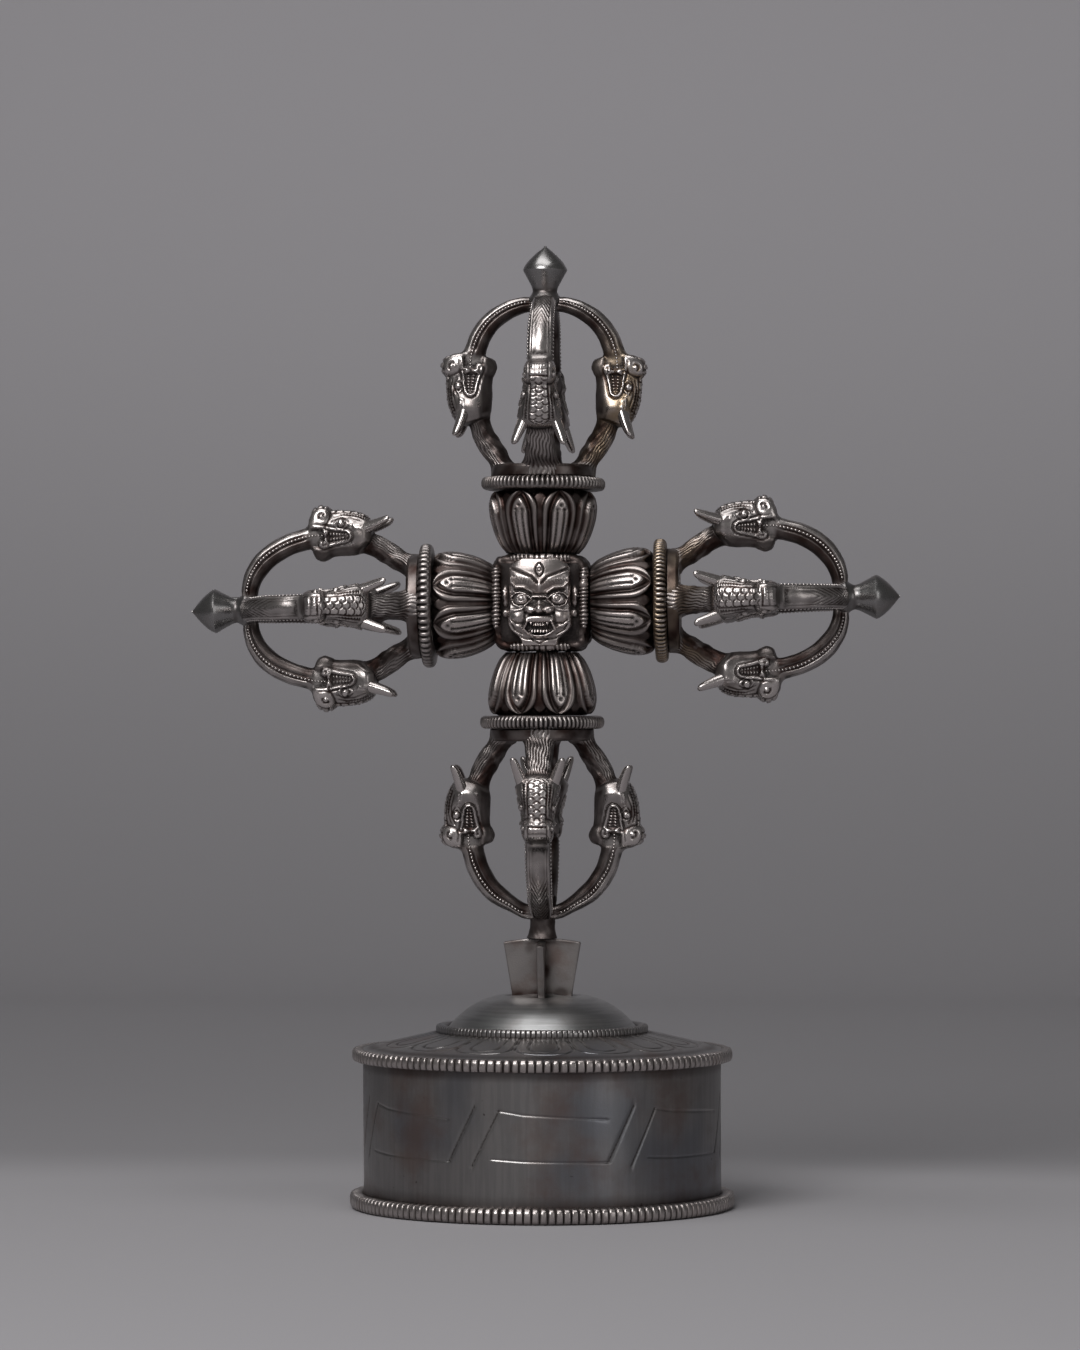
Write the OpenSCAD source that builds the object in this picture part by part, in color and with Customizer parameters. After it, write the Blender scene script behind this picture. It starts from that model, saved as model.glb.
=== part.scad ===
// Crossed double vajra of iron, standing by its bladed foot in a drum-shaped stand.
// Millimetres. +Z is up, the front mask faces -Y, and the origin is the centre of the underside.

/* [Stand] */
// Outer radius of the drum's wall
drum_r = 56.2; // [48:0.2:70]
// Height of the drum's wall
drum_h = 45.5; // [30:0.5:60]
// Thickness of the sheet iron of the drum, the lid and the dome
sheet_t = 1.2; // [0.8:0.1:1.8]
// Thickness of the base plate
base_t = 1.5; // [1:0.1:2.5]
// Thickness of the wire of the foot ring
foot_ring_w = 5.2; // [4:0.1:6.5]
// Thickness of the wire of the lid ring
lid_ring_w = 4.4; // [3.6:0.1:5.6]
// How far the lid reaches past the drum's wall
lid_overhang = 0.8; // [0.4:0.1:1.6]
// Rise of the lid's cone, from its brim to the dome
lid_rise = 6.2; // [3:0.2:10]
// Width of the lid's land under the foot of the dome
lid_land = 7; // [4:0.5:9]
// Radius of the dome's foot
dome_r = 31; // [25:0.5:36]
// Height of the dome
dome_h = 12.4; // [9:0.2:16]
// Thickness of the wire of the dome ring
dome_ring_w = 3; // [2:0.1:4]

/* [Bladed foot] */
// Height of the blades above the dome
blade_h = 17.2; // [12:0.2:24]
// Width across two blades at their upper corners
blade_top_w = 24.3; // [21:0.1:28]
// Width across two blades where they enter the dome
blade_slot_w = 19; // [15:0.1:20]
// How far the blades reach below the top of the dome
blade_depth = 10.8; // [6:0.2:12]
// Thickness of a blade
blade_t = 2.4; // [1.6:0.1:3]
// Rise of the arched top edge of the blades
blade_crown = 1.2; // [0.6:0.1:2]
// Clearance round a blade in its slot in the dome
slot_clearance = 0.15; // [0.1:0.05:0.4]
// Radius of the stem above the blades
stem_r = 4.2; // [3.8:0.1:5]
// Length of the stem between the blades and the prongs
stem_len = 6.5; // [4:0.5:12]
// Height of the blades' tenon inside the stem
tenon_h = 5; // [3:0.5:6]
// Width of the blades' tenon inside the stem
tenon_w = 5.4; // [4.6:0.1:6]
// Web of metal between the blades' tenon and the bottom rod inside the stem
stem_web = 2; // [1:0.25:3]

/* [Hub and masks] */
// Width and height of the hub
hub_size = 31; // [28:0.5:36]
// Depth of the hub from front to back
hub_depth = 26; // [25:0.5:30]
// Radius of the ball that rounds the hub's corners
hub_round_r = 20.4; // [19.5:0.1:21.5]
// Width of a mask
mask_w = 20.8; // [18:0.2:22]
// Height of a mask
mask_h = 28; // [24:0.2:28.4]
// Depth of the pocket that a mask is set in
mask_pocket = 1; // [0.6:0.1:1.6]
// Height of a mask's plain edge above the hub
mask_edge = 1.4; // [1:0.1:2.5]
// Height of a mask's relief above its edge
mask_relief = 4.2; // [3:0.1:6]

/* [Arms] */
// Length of a lotus bulb along its arm
lotus_len = 19.75; // [16:0.25:26]
// Radius of a lotus bulb where it meets the hub
lotus_foot_r = 11.5; // [10:0.1:13]
// Greatest radius of a lotus bulb
lotus_r = 17.2; // [16:0.1:18.4]
// Number of petals round a lotus bulb
petals = 8; // [6:1:10]
// Depth of the groove between two petals
petal_groove = 1.5; // [0.6:0.1:2]
// Outer radius of the beaded ring
bead_ring_r = 19.6; // [18.8:0.1:21]
// Thickness of the wire of the beaded ring
bead_ring_w = 4.1; // [3:0.1:5]
// Radius of the collar that carries the prongs
collar_r = 16.3; // [15.8:0.1:17]
// Height of the collar
collar_h = 3.9; // [3:0.1:6]
// Radius of the rod that runs along an arm
rod_r = 2; // [1.6:0.1:2.4]
// How far a rod goes into the hub
rod_seat = 7; // [5:0.5:9]
// Length of the cage of prongs, from the collar to the neck
cage_len = 48.5; // [44:0.5:60]
// Radius of the neck that the prongs meet at
neck_r = 4; // [3.6:0.1:4.6]
// Length of the neck
neck_len = 6.75; // [5:0.25:9]
// Greatest radius of a pointed tip
tip_r = 7; // [5.5:0.1:9]
// Length of a tip's flare, from the neck to its greatest radius
tip_flare = 5.75; // [4:0.25:8]
// Length of a tip's point
tip_point = 7.75; // [5:0.25:10]

/* [Prongs] */
// Distance from the arm's axis to a prong's root at the collar
root_r = 13.6; // [13:0.1:14.2]
// Depth of a root towards the arm's axis
root_depth = 7.4; // [6:0.1:8.4]
// Width of a root
root_w = 8.7; // [7.5:0.1:11]
// Width of a root's flared foot
root_flare_w = 11.4; // [10:0.1:14]
// Distance from the arm's axis to the middle of a makara head
head_r = 23.5; // [21.5:0.1:26]
// Length of a makara head
head_len = 17.5; // [15:0.25:22]
// How far the back of a head leans in from its middle
head_lean = 2.5; // [1.5:0.1:3.5]
// How far the lips stand past the centre of the tongue's arc
lips_rise = 0.4; // [-1:0.1:4]
// How far a tongue's arc lies inside the middle of the head
tongue_inset = 1.2; // [0.4:0.1:2]
// Depth of a makara head towards the arm's axis
head_depth = 13.8; // [12:0.1:15.5]
// Width of a makara head
head_w = 13.5; // [11:0.1:15]
// Length of a horn
horn_len = 9; // [6:0.25:10]
// Radius of a horn at its base
horn_r = 1.6; // [1.2:0.1:2.2]
// Radius of an eye
eye_r = 1.4; // [1:0.1:2]
// Radius of the curled nose
nose_r = 3.2; // [2.4:0.1:4]
// Radius of the arc that a tongue follows
tongue_r = 19.2; // [17:0.1:21]
// Depth of a tongue where it leaves the mouth
tongue_depth = 6.2; // [5:0.1:7.5]
// Depth of a tongue at the neck
tongue_end_depth = 4.3; // [3:0.1:5.5]
// Width of a tongue where it leaves the mouth
tongue_w = 8; // [7:0.1:9.5]
// Width of a tongue at the neck
tongue_end_w = 6.8; // [5.5:0.1:7.2]

/* [Fits] */
// Film of braze between two pieces that are brazed together
braze_gap = 0.05; // [0.02:0.01:0.1]
// Radial clearance of a rod in the pieces threaded on it
rod_fit = 0.05; // [0.03:0.01:0.1]

/* [Hidden] */
$fn = 64;
IRON = "#6f6b68";
DARK_IRON = "#4c4744";
BRIGHT_IRON = "#8d8a88";

// Heights of the stand, from the table up
drum_top_z = base_t + drum_h;
lid_r = drum_r + lid_overhang;
lid_cone_r = drum_r - 2 * sheet_t;
lid_top_z = drum_top_z + braze_gap + sheet_t;
lid_slope = lid_rise / (lid_cone_r - dome_r);
dome_foot_z = lid_top_z + lid_rise + braze_gap;
dome_top_z = dome_foot_z + dome_h;
dome_power = 3.5;
dome_inner_r = dome_r - 1.4 * sheet_t;

// Distances along an arm, from the centre of the hub outwards
lotus_d = hub_size / 2 + braze_gap;
ring_d = lotus_d + lotus_len + braze_gap;
collar_d = ring_d + bead_ring_w + braze_gap;
cage_d = collar_d + collar_h;
neck_d = cage_d + cage_len;
flare_d = neck_d + neck_len;
equator_d = flare_d + tip_flare;
apex_d = equator_d + tip_point;
rod_start_d = hub_size / 2 - rod_seat;
rod_end_d = flare_d + tip_flare / 3;
stem_rod_end_d = flare_d + stem_len - tenon_h - stem_web;
rod_end_play = 0.25;

// The beaded ring is wire bent round the collar's spigot, so the spigot gives its inner radius
spigot_r = bead_ring_r - bead_ring_w;

// Height of the hub's centre, carried by the stem and the blades on the dome
blade_top_z = dome_top_z + blade_h;
stem_z = blade_top_z + braze_gap;
hub_z = stem_z + stem_len + flare_d;

// The tongue's arc ends on the neck, and the lips stand a little past the arc's centre
tongue_meet = 0.3;
arc_u = head_r - tongue_inset - tongue_r;
arc_d = neck_d + tongue_meet * neck_len - tongue_r;
lips_d = arc_d + lips_rise;
back_d = lips_d - head_len;
back_u = head_r - head_lean;

// Each arm's name and turn about Y, with the names of its prongs in order about the arm's axis
ARMS = [
    ["top", 0, ["right", "back", "left", "front"]],
    ["right", 90, ["lower", "back", "upper", "front"]],
    ["bottom", 180, ["left", "back", "right", "front"]],
    ["left", 270, ["upper", "back", "lower", "front"]],
];
TIPPED_ARMS = [for (arm = ARMS) if (arm[0] != "bottom") arm];
SIDES = [["front", 0], ["back", 180]];
PRONG_ORDER = [0, 1, 2, 3];

// Joins rings of points, each with as many points, into one closed solid
module loft(rings) {
    sides = len(rings[0]);
    last = len(rings) - 1;
    start_cap = [for (k = [1:sides - 2]) [0, k, k + 1]];
    end_cap = [for (k = [1:sides - 2]) [last * sides, last * sides + k + 1, last * sides + k]];
    wall = [for (i = [0:last - 1]) for (k = [0:sides - 1])
        let (a = i * sides + k, b = i * sides + (k + 1) % sides)
        each [[a, a + sides, b], [b, a + sides, b + sides]]];
    polyhedron([for (ring = rings) each ring], concat(start_cap, wall, end_cap));
}

// A round wire bent into a ring, with its section at radius r and height z
module wire_ring(r, z, wire) {
    translate([r, z]) circle(d = wire);
}

// Everything inside radius r, from height low to height high, as a half section
module half_section(r, low, high) {
    translate([0, low]) square([r, high - low]);
}

// Stand

module base_plate() {
    color(DARK_IRON) cylinder(r = drum_r, h = base_t);
}

// The wire is filed flat underneath and sits against the wall of the drum
module foot_ring() {
    wire_z = 0.46 * foot_ring_w;
    color(IRON) rotate_extrude() difference() {
        wire_ring(drum_r + foot_ring_w / 3, wire_z, foot_ring_w);
        half_section(drum_r + braze_gap, -foot_ring_w, 2 * foot_ring_w);
        translate([0, -foot_ring_w]) square([2 * drum_r, foot_ring_w]);
    }
}

module drum_wall() {
    color(IRON) translate([0, 0, base_t + braze_gap]) difference() {
        cylinder(r = drum_r, h = drum_h - braze_gap);
        translate([0, 0, -1]) cylinder(r = drum_r - sheet_t, h = drum_h + 2);
    }
}

// Half section of the lid: a flat brim on the drum's wall, then a cone up to the dome
module lid_section() {
    hole_r = dome_r - lid_land;
    hole_z = lid_top_z + lid_slope * (lid_cone_r - hole_r);
    polygon([
        [hole_r, hole_z - sheet_t], [lid_cone_r, lid_top_z - sheet_t], [lid_r, lid_top_z - sheet_t],
        [lid_r, lid_top_z], [lid_cone_r, lid_top_z], [hole_r, hole_z],
    ]);
}

module lid_plate() {
    color(IRON) rotate_extrude() lid_section();
}

module lid_ring() {
    color(IRON) rotate_extrude() difference() {
        wire_ring(lid_r + lid_ring_w / 8, lid_top_z - sheet_t / 2, lid_ring_w);
        half_section(lid_r + braze_gap, 0, 2 * lid_top_z);
    }
}

// Height of the dome's skin at radius r, for a dome of the given foot radius and height
function dome_height(r, foot_r, height) = height * (1 - pow(r / foot_r, dome_power));

// Half section of a dome filled down to the height low
module dome_section(foot_r, height, low) {
    steps = 16;
    skin = [for (i = [0:steps]) let (r = foot_r * sin(90 * i / steps)) [
        r, dome_foot_z + dome_height(r, foot_r, height)]];
    polygon(concat([[0, low]], skin, [[foot_r, low]]));
}

module dome() {
    below_z = lid_top_z;
    color(IRON) difference() {
        rotate_extrude() difference() {
            dome_section(dome_r, dome_h, below_z);
            dome_section(dome_inner_r, dome_h - sheet_t, below_z - 1);
            translate([0, braze_gap]) lid_shadow();
        }
        for (turn = [0, 90]) rotate(turn) blade_slot();
    }
}

// The space under the lid's upper surface, as a half section
module lid_shadow() {
    centre_z = lid_top_z + lid_slope * lid_cone_r;
    polygon([[0, 0], [2 * lid_r, 0], [2 * lid_r, lid_top_z], [lid_cone_r, lid_top_z], [0, centre_z]]);
}

// Where one blade plate passes through the dome
module blade_slot() {
    slot = [blade_slot_w + 2 * slot_clearance, blade_t + 2 * slot_clearance, 2 * dome_h];
    translate([0, 0, dome_top_z]) cube(slot, center = true);
}

module dome_ring() {
    ring_r = dome_r + 0.28 * dome_ring_w;
    ring_z = lid_top_z + lid_slope * (lid_cone_r - ring_r) + dome_ring_w / 6;
    color(IRON) rotate_extrude() difference() {
        wire_ring(ring_r, ring_z, dome_ring_w);
        dome_section(dome_r + braze_gap, dome_h + braze_gap, 0);
        translate([0, braze_gap]) lid_shadow();
    }
}

// Bladed foot

// Outline of one plate: two blades that widen upwards under an arched edge, and a tenon for the stem
module blade_outline() {
    taper = (blade_top_w - blade_slot_w) / 2 / (blade_h - blade_crown);
    foot_half = blade_slot_w / 2 - taper * blade_depth;
    top_half = blade_slot_w / 2 + taper * blade_h;
    crown_r = (pow(blade_top_w / 2, 2) + pow(blade_crown, 2)) / (2 * blade_crown);
    foot_z = dome_top_z - blade_depth;
    intersection() {
        polygon([
            [-foot_half, foot_z], [foot_half, foot_z], [top_half, blade_top_z], [-top_half, blade_top_z]]);
        translate([0, blade_top_z - crown_r]) circle(r = crown_r, $fn = 128);
    }
    translate([-tenon_w / 2, blade_top_z - 2 * blade_crown]) square([tenon_w, 2 * blade_crown + tenon_h]);
}

// One plate in the XZ plane, halved where it crosses the other plate
module blade_plate(cut_low, cut_high) {
    color(BRIGHT_IRON) difference() {
        rotate([90, 0, 0]) linear_extrude(blade_t, center = true) blade_outline();
        translate([0, 0, (cut_low + cut_high) / 2])
            cube([blade_t + 2 * braze_gap, 2 * blade_t, cut_high - cut_low], center = true);
    }
}

lap_z = dome_top_z + (blade_h + tenon_h - blade_depth) / 2;
lap_reach = blade_h + blade_depth + tenon_h;

module blade_plate_side() {
    blade_plate(lap_z - braze_gap / 2, lap_z + lap_reach);
}

module blade_plate_front() {
    rotate(90) blade_plate(lap_z - lap_reach, lap_z + braze_gap / 2);
}

// The stem takes the blades' tenons below and the bottom arm's rod above
module stem() {
    stem_top_z = hub_z - neck_d;
    mortise = [tenon_w + 2 * braze_gap, blade_t + 2 * braze_gap, 2 * (tenon_h + braze_gap)];
    color(IRON) difference() {
        translate([0, 0, stem_z]) cylinder(r = stem_r, h = stem_top_z - stem_z);
        for (turn = [0, 90]) rotate(turn) translate([0, 0, blade_top_z]) cube(mortise, center = true);
        translate([0, 0, hub_z - stem_rod_end_d - rod_end_play])
            cylinder(r = rod_r + rod_fit, h = stem_rod_end_d);
    }
}

// Hub and masks

module hub() {
    pocket_y = hub_depth / 2 - mask_pocket;
    color(DARK_IRON) translate([0, 0, hub_z]) difference() {
        intersection() {
            cube([hub_size, hub_depth, hub_size], center = true);
            sphere(r = hub_round_r, $fn = 96);
        }
        for (side = SIDES) rotate(side[1]) translate([0, -pocket_y - hub_depth / 2, 0])
            cube([mask_w + 2 * braze_gap, hub_depth, mask_h + 2 * braze_gap], center = true);
        for (arm = ARMS) rotate([0, arm[1], 0]) translate([0, 0, rod_start_d - rod_end_play])
            cylinder(r = rod_r + rod_fit, h = hub_size);
    }
}

// The mask's forms: place across and up the face, reach across and up, and height, as shares of the mask
FACE_FORMS = [
    [-0.27, 0.30, 0.17, 0.07, 0.42], [0.27, 0.30, 0.17, 0.07, 0.42],
    [-0.29, 0.10, 0.11, 0.05, 0.40], [0.29, 0.10, 0.11, 0.05, 0.40],
    [0, 0.12, 0.08, 0.12, 0.35], [0, -0.02, 0.12, 0.06, 0.75],
    [-0.16, -0.03, 0.06, 0.04, 0.35], [0.16, -0.03, 0.06, 0.04, 0.35],
    [-0.34, -0.10, 0.14, 0.08, 0.38], [0.34, -0.10, 0.14, 0.08, 0.38],
    [0, -0.14, 0.24, 0.045, 0.34], [0, -0.23, 0.18, 0.05, -0.34],
    [0, -0.33, 0.22, 0.05, 0.34], [0, -0.43, 0.16, 0.06, 0.22],
    [0, 0.41, 0.06, 0.05, 0.25],
];

function bell(x) = exp(-x * x);

// Relief at a place on the face, where x and z run from -0.5 to 0.5
function face_relief(x, z) =
    let (crown = 0.45 * (1 - pow(2 * x, 4)) * (1 - pow(2 * z, 6)))
    let (forms = [for (f = FACE_FORMS) f[4] * bell((x - f[0]) / f[2]) * bell((z - f[1]) / f[3])])
    mask_relief * max(0, crown + forms * [for (f = FACE_FORMS) 1]);

// A point of the mask's rounded outline, drawn in by share
function mask_outline(angle, share) =
    let (x = cos(angle), z = sin(angle), squareness = 0.55)
    share / 2 * [sign(x) * pow(abs(x), squareness), sign(z) * pow(abs(z), squareness)];

// The mask is a loft of outlines, from its flat back, over its plain edge, in to the tip of the nose
module mask() {
    around = 48;
    shares = [1, 0.9, 0.8, 0.7, 0.6, 0.5, 0.4, 0.3, 0.2, 0.1];
    angles = [for (k = [0:around - 1]) 360 * k / around];
    back_y = -hub_depth / 2 + mask_pocket - braze_gap;
    edge_y = -hub_depth / 2 - mask_edge;
    back = [for (a = angles) let (p = mask_outline(a, 1)) [p[0] * mask_w, back_y, p[1] * mask_h]];
    front = [for (s = shares) [for (a = angles) let (p = mask_outline(a, s)) [
        p[0] * mask_w, edge_y - face_relief(p[0], p[1]), p[1] * mask_h]]];
    color(IRON) translate([0, 0, hub_z]) loft(concat([back], front));
}

// Arms, each made along +Z from the centre of the hub

module at_arm(turn) {
    translate([0, 0, hub_z]) rotate([0, turn, 0]) children();
}

module rod_bore() {
    cylinder(r = rod_r + rod_fit, h = apex_d);
}

module axle_rod(end_d) {
    color(DARK_IRON) translate([0, 0, rod_start_d]) cylinder(r = rod_r, h = end_d - rod_start_d);
}

// Radius of the lotus at share t of its length and at share p of a petal's width from its middle
function lotus_radius(t, p) =
    lotus_foot_r + (lotus_r - lotus_foot_r) * sin(100 * t)
    - petal_groove * (0.4 + 0.6 * t * t) * pow(abs(p), 4);

module lotus() {
    steps = 8;
    points_per_petal = 6;
    around = petals * points_per_petal;
    rings = [for (i = [0:steps]) let (t = i / steps) [for (k = [0:around - 1])
        let (p = 1 - 2 * (k % points_per_petal) / points_per_petal)
        let (r = lotus_radius(t, p), angle = 360 * k / around)
        [r * cos(angle), r * sin(angle), lotus_d + t * lotus_len]]];
    color(IRON) difference() {
        loft(rings);
        rod_bore();
    }
}

module bead_ring() {
    color(BRIGHT_IRON) rotate_extrude() difference() {
        wire_ring(bead_ring_r - bead_ring_w / 2, ring_d + bead_ring_w / 2, bead_ring_w);
        half_section(spigot_r + 2 * braze_gap, 0, apex_d);
    }
}

// A disc for the prongs, with a spigot through the beaded ring down to the lotus
module collar() {
    color(IRON) difference() {
        union() {
            translate([0, 0, collar_d]) cylinder(r = collar_r, h = collar_h);
            translate([0, 0, ring_d]) cylinder(r = spigot_r, h = bead_ring_w + collar_h / 2);
        }
        rod_bore();
    }
}

module tip() {
    belly = [0.6 * tip_r, equator_d + tip_point / 2];
    color(BRIGHT_IRON) difference() {
        rotate_extrude() polygon([
            [0, neck_d], [neck_r, neck_d], [neck_r, flare_d], [tip_r, equator_d], belly, [0, apex_d]]);
        translate([0, 0, -rod_end_play]) cylinder(r = rod_r + rod_fit, h = rod_end_d + 2 * rod_end_play);
    }
}

// Prongs, each made at +X of its arm: u is the distance from the arm's axis, d the distance along it

SIDES_OF_SECTION = 12;

// A section of a prong, tilted outwards from the arm's axis, with rounded corners
function section(u, d, tilt, depth, width) = [for (k = [0:SIDES_OF_SECTION - 1])
    let (angle = 360 * k / SIDES_OF_SECTION, squareness = 0.75)
    let (x = cos(angle), y = sin(angle))
    let (out = depth / 2 * sign(x) * pow(abs(x), squareness))
    let (side = width / 2 * sign(y) * pow(abs(y), squareness))
    [u + out * cos(tilt), side, d - out * sin(tilt)]];

function mix(a, b, t) = a + (b - a) * t;

// The root leans out from the collar to the back of the head
root_tilt = atan2(back_u - root_r, back_d - cage_d);
ROOT_SECTIONS = concat(
    [section(root_r, collar_d + braze_gap, 0, root_depth, root_flare_w)],
    [section(root_r, cage_d, 0, root_depth, mix(root_flare_w, root_w, 0.4))],
    [for (t = [0.3, 0.8]) section(
        mix(root_r, back_u, t), mix(cage_d, back_d, t), root_tilt, 0.95 * root_depth, root_w)]
);

// The head's forms from its back to its lips: shares of its length, of its outward shift, and of its sizes
HEAD_FORMS = [
    [0, 0.1, 0.72, 0.89], [0.18, 0.72, 0.98, 1], [0.45, 1, 1, 0.89], [0.66, 1, 0.96, 0.77],
    [0.8, 1, 1.08, 0.72], [0.92, 0.9, 1, 0.7], [1, 0.55, 0.6, 0.64],
];
HEAD_SECTIONS = [for (f = HEAD_FORMS) section(
    mix(back_u, head_r, f[1]), mix(back_d, lips_d, f[0]), 0, head_depth * f[2], head_w * f[3])];

// The tongue comes out of the mouth and follows an arc into the neck
tongue_root = 1;
tongue_start = asin((lips_rise + tongue_root) / tongue_r);
tongue_end = acos((0.5 * neck_r - arc_u) / tongue_r);
tongue_steps = 9;
TONGUE_SECTIONS = [for (i = [0:tongue_steps])
    let (t = i / tongue_steps, turn = mix(tongue_start, tongue_end, t))
    section(arc_u + tongue_r * cos(turn), arc_d + tongue_r * sin(turn), -turn,
        mix(tongue_depth, tongue_end_depth, t), mix(tongue_w, tongue_end_w, t))];

// Two horns sweep back from behind the eyes
module horns() {
    base = [head_r + 0.1 * head_depth, 0.42 * head_w, mix(back_d, lips_d, 0.12)];
    for (side = [1, -1]) translate([base[0], side * base[1], base[2]])
        rotate([-9 * side, 168, 0]) cylinder(r1 = horn_r, r2 = 0.6 * horn_r, h = horn_len);
}

module nose_and_chin() {
    snout_d = mix(back_d, lips_d, 0.84);
    translate([head_r + 0.40 * head_depth, 0, snout_d]) sphere(r = nose_r);
    translate([head_r - 0.42 * head_depth, 0, snout_d - 0.2 * nose_r]) sphere(r = 0.8 * nose_r);
}

module eyes() {
    place = [head_r + 0.16 * head_depth, 0.40 * head_w, mix(back_d, lips_d, 0.55)];
    for (side = [1, -1]) translate([place[0], side * place[1], place[2]]) sphere(r = eye_r);
}

// One prong is cut to seat on the collar and the neck, and to mitre with its neighbours
module prong() {
    mitre = 2 * (head_r + head_depth);
    color(IRON) intersection() {
        difference() {
            union() {
                loft(concat(ROOT_SECTIONS, HEAD_SECTIONS, TONGUE_SECTIONS));
                horns();
                nose_and_chin();
                eyes();
            }
            cylinder(r = collar_r + braze_gap, h = cage_d + braze_gap);
            translate([0, 0, neck_d - tongue_r])
                cylinder(r = max(neck_r, stem_r) + braze_gap, h = 2 * tongue_r);
        }
        linear_extrude(apex_d) polygon([[2 * braze_gap, 0], [mitre, mitre], [mitre, -mitre]]);
    }
}

base_plate();
foot_ring();
drum_wall();
lid_plate();
lid_ring();
dome();
dome_ring();
blade_plate_side();
blade_plate_front();
stem();
hub();
for (side = SIDES) {
    rotate(side[1]) mask();
}
for (arm = ARMS) {
    rod_end = arm[0] == "bottom" ? stem_rod_end_d : rod_end_d;
    at_arm(arm[1]) axle_rod(rod_end);
    at_arm(arm[1]) lotus();
    at_arm(arm[1]) bead_ring();
    at_arm(arm[1]) collar();
    for (k = PRONG_ORDER) {
        at_arm(arm[1]) rotate(90 * k) prong();
    }
}
for (arm = TIPPED_ARMS) {
    at_arm(arm[1]) tip();
}
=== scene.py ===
# %% [markdown]
# # A crossed double vajra of iron on its drum stand
# The object is hand-made ironwork. Four arms of lotus petals, beaded rings and makara prongs meet at a
# hub that carries a fierce mask, and the whole stands by a bladed foot in a low drum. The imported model
# gives every piece its place and size. The lesson dresses it: each cell makes one piece from a plain
# blank, chases its relief, and gives it a finish.

# %% Load the frame
import math

import bpy
import numpy as np
from mathutils import Matrix, Vector


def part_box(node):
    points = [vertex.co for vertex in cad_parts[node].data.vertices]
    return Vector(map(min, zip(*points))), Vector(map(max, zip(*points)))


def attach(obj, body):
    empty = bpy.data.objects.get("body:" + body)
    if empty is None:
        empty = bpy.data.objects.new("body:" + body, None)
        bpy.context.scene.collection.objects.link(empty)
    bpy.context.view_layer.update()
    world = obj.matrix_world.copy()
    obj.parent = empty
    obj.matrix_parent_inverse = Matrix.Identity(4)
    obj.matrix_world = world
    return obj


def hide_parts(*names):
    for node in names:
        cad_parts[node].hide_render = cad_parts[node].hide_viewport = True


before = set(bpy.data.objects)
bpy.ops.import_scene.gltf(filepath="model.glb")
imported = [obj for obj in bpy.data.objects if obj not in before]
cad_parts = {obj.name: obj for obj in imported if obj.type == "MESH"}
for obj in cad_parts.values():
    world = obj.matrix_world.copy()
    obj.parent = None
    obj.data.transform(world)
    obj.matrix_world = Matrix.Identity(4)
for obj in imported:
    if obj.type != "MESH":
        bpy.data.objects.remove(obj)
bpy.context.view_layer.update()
MM = 0.001

# %% [markdown]
# ## Sizes from the frame
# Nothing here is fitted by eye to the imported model: the heights, radii and distances that the new
# pieces need are read from the boxes of the nodes that they stand for. Distances along an arm are
# counted from the centre of the hub, because all four arms are alike.

# %% Measure the stand and the arms
def corners(node):
    """The lowest and highest corner of a node, in millimetres."""
    low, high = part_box(node)
    return np.array(low) / MM, np.array(high) / MM


def along_arm(node):
    """Where a node of the top arm starts and ends, counted from the centre of the hub."""
    low, high = corners(node)
    return low[2] - HUB_Z, high[2] - HUB_Z


hub_low, hub_high = corners("hub")
HUB_Z = (hub_low[2] + hub_high[2]) / 2
HUB_HALF = hub_high[0]
HUB_FRONT = hub_high[1]
LOTUS_D, LOTUS_END_D = along_arm("lotus_top")
RING_D, RING_END_D = along_arm("bead_ring_top")
CAGE_D = along_arm("collar_top")[1]
NECK_D, APEX_D = along_arm("tip_top")
BEAD_RING_R = corners("bead_ring_top")[1][0]
TIP_R = corners("tip_top")[1][0]
DRUM_R = corners("drum_wall")[1][0]
DOME_R = corners("dome")[1][0]
print(f"hub at {HUB_Z:.2f}, lotus {LOTUS_D:.2f} to {LOTUS_END_D:.2f}, cage {CAGE_D:.2f}, tip to {APEX_D:.2f}")

# %% [markdown]
# ## Camera
# The photograph was taken from far away with a long lens: the drum's rim shows as a flat ellipse and
# the arms hardly converge. A camera with a focal length of 5000 pixels on a picture 1350 pixels tall,
# 1.57 m from the hub and a little to its right, gives the same view. The sensor's width is spread over
# the longer side of the picture, so the lens follows from that side.

# %% Place the camera
SENSOR_MM = 36
PHOTO_TALL = 1350
FOCAL_PIXELS = 5000
CAMERA_AWAY = 1.57
CAMERA_TURN = math.radians(3.2)
CAMERA_BELOW_HUB = 33.6
AIM_BELOW_HUB = 22.6
AIM_LEFT = 0.7

bpy.ops.object.select_all(action="DESELECT")
camera_z = (HUB_Z - CAMERA_BELOW_HUB) * MM
camera_place = Vector((math.sin(CAMERA_TURN) * CAMERA_AWAY, -math.cos(CAMERA_TURN) * CAMERA_AWAY, camera_z))
bpy.ops.object.camera_add(location=camera_place)
camera = bpy.context.object
camera_aim = Vector((-AIM_LEFT * MM, 0, (HUB_Z - AIM_BELOW_HUB) * MM))
camera.rotation_euler = (camera_aim - camera_place).to_track_quat("-Z", "Y").to_euler()
camera.data.sensor_width = SENSOR_MM
camera.data.lens = SENSOR_MM * FOCAL_PIXELS / PHOTO_TALL
bpy.context.scene.camera = camera
print(f"lens {camera.data.lens:.1f} mm")

# %% [markdown]
# ## Finishes in Python
# A finish is a small tree of shader nodes. Written as sockets and links it is hard to read, so one
# class wraps a socket and lets + - * add the Math nodes, and another holds a material and adds any
# other node from its type, its settings and its sockets.

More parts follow.
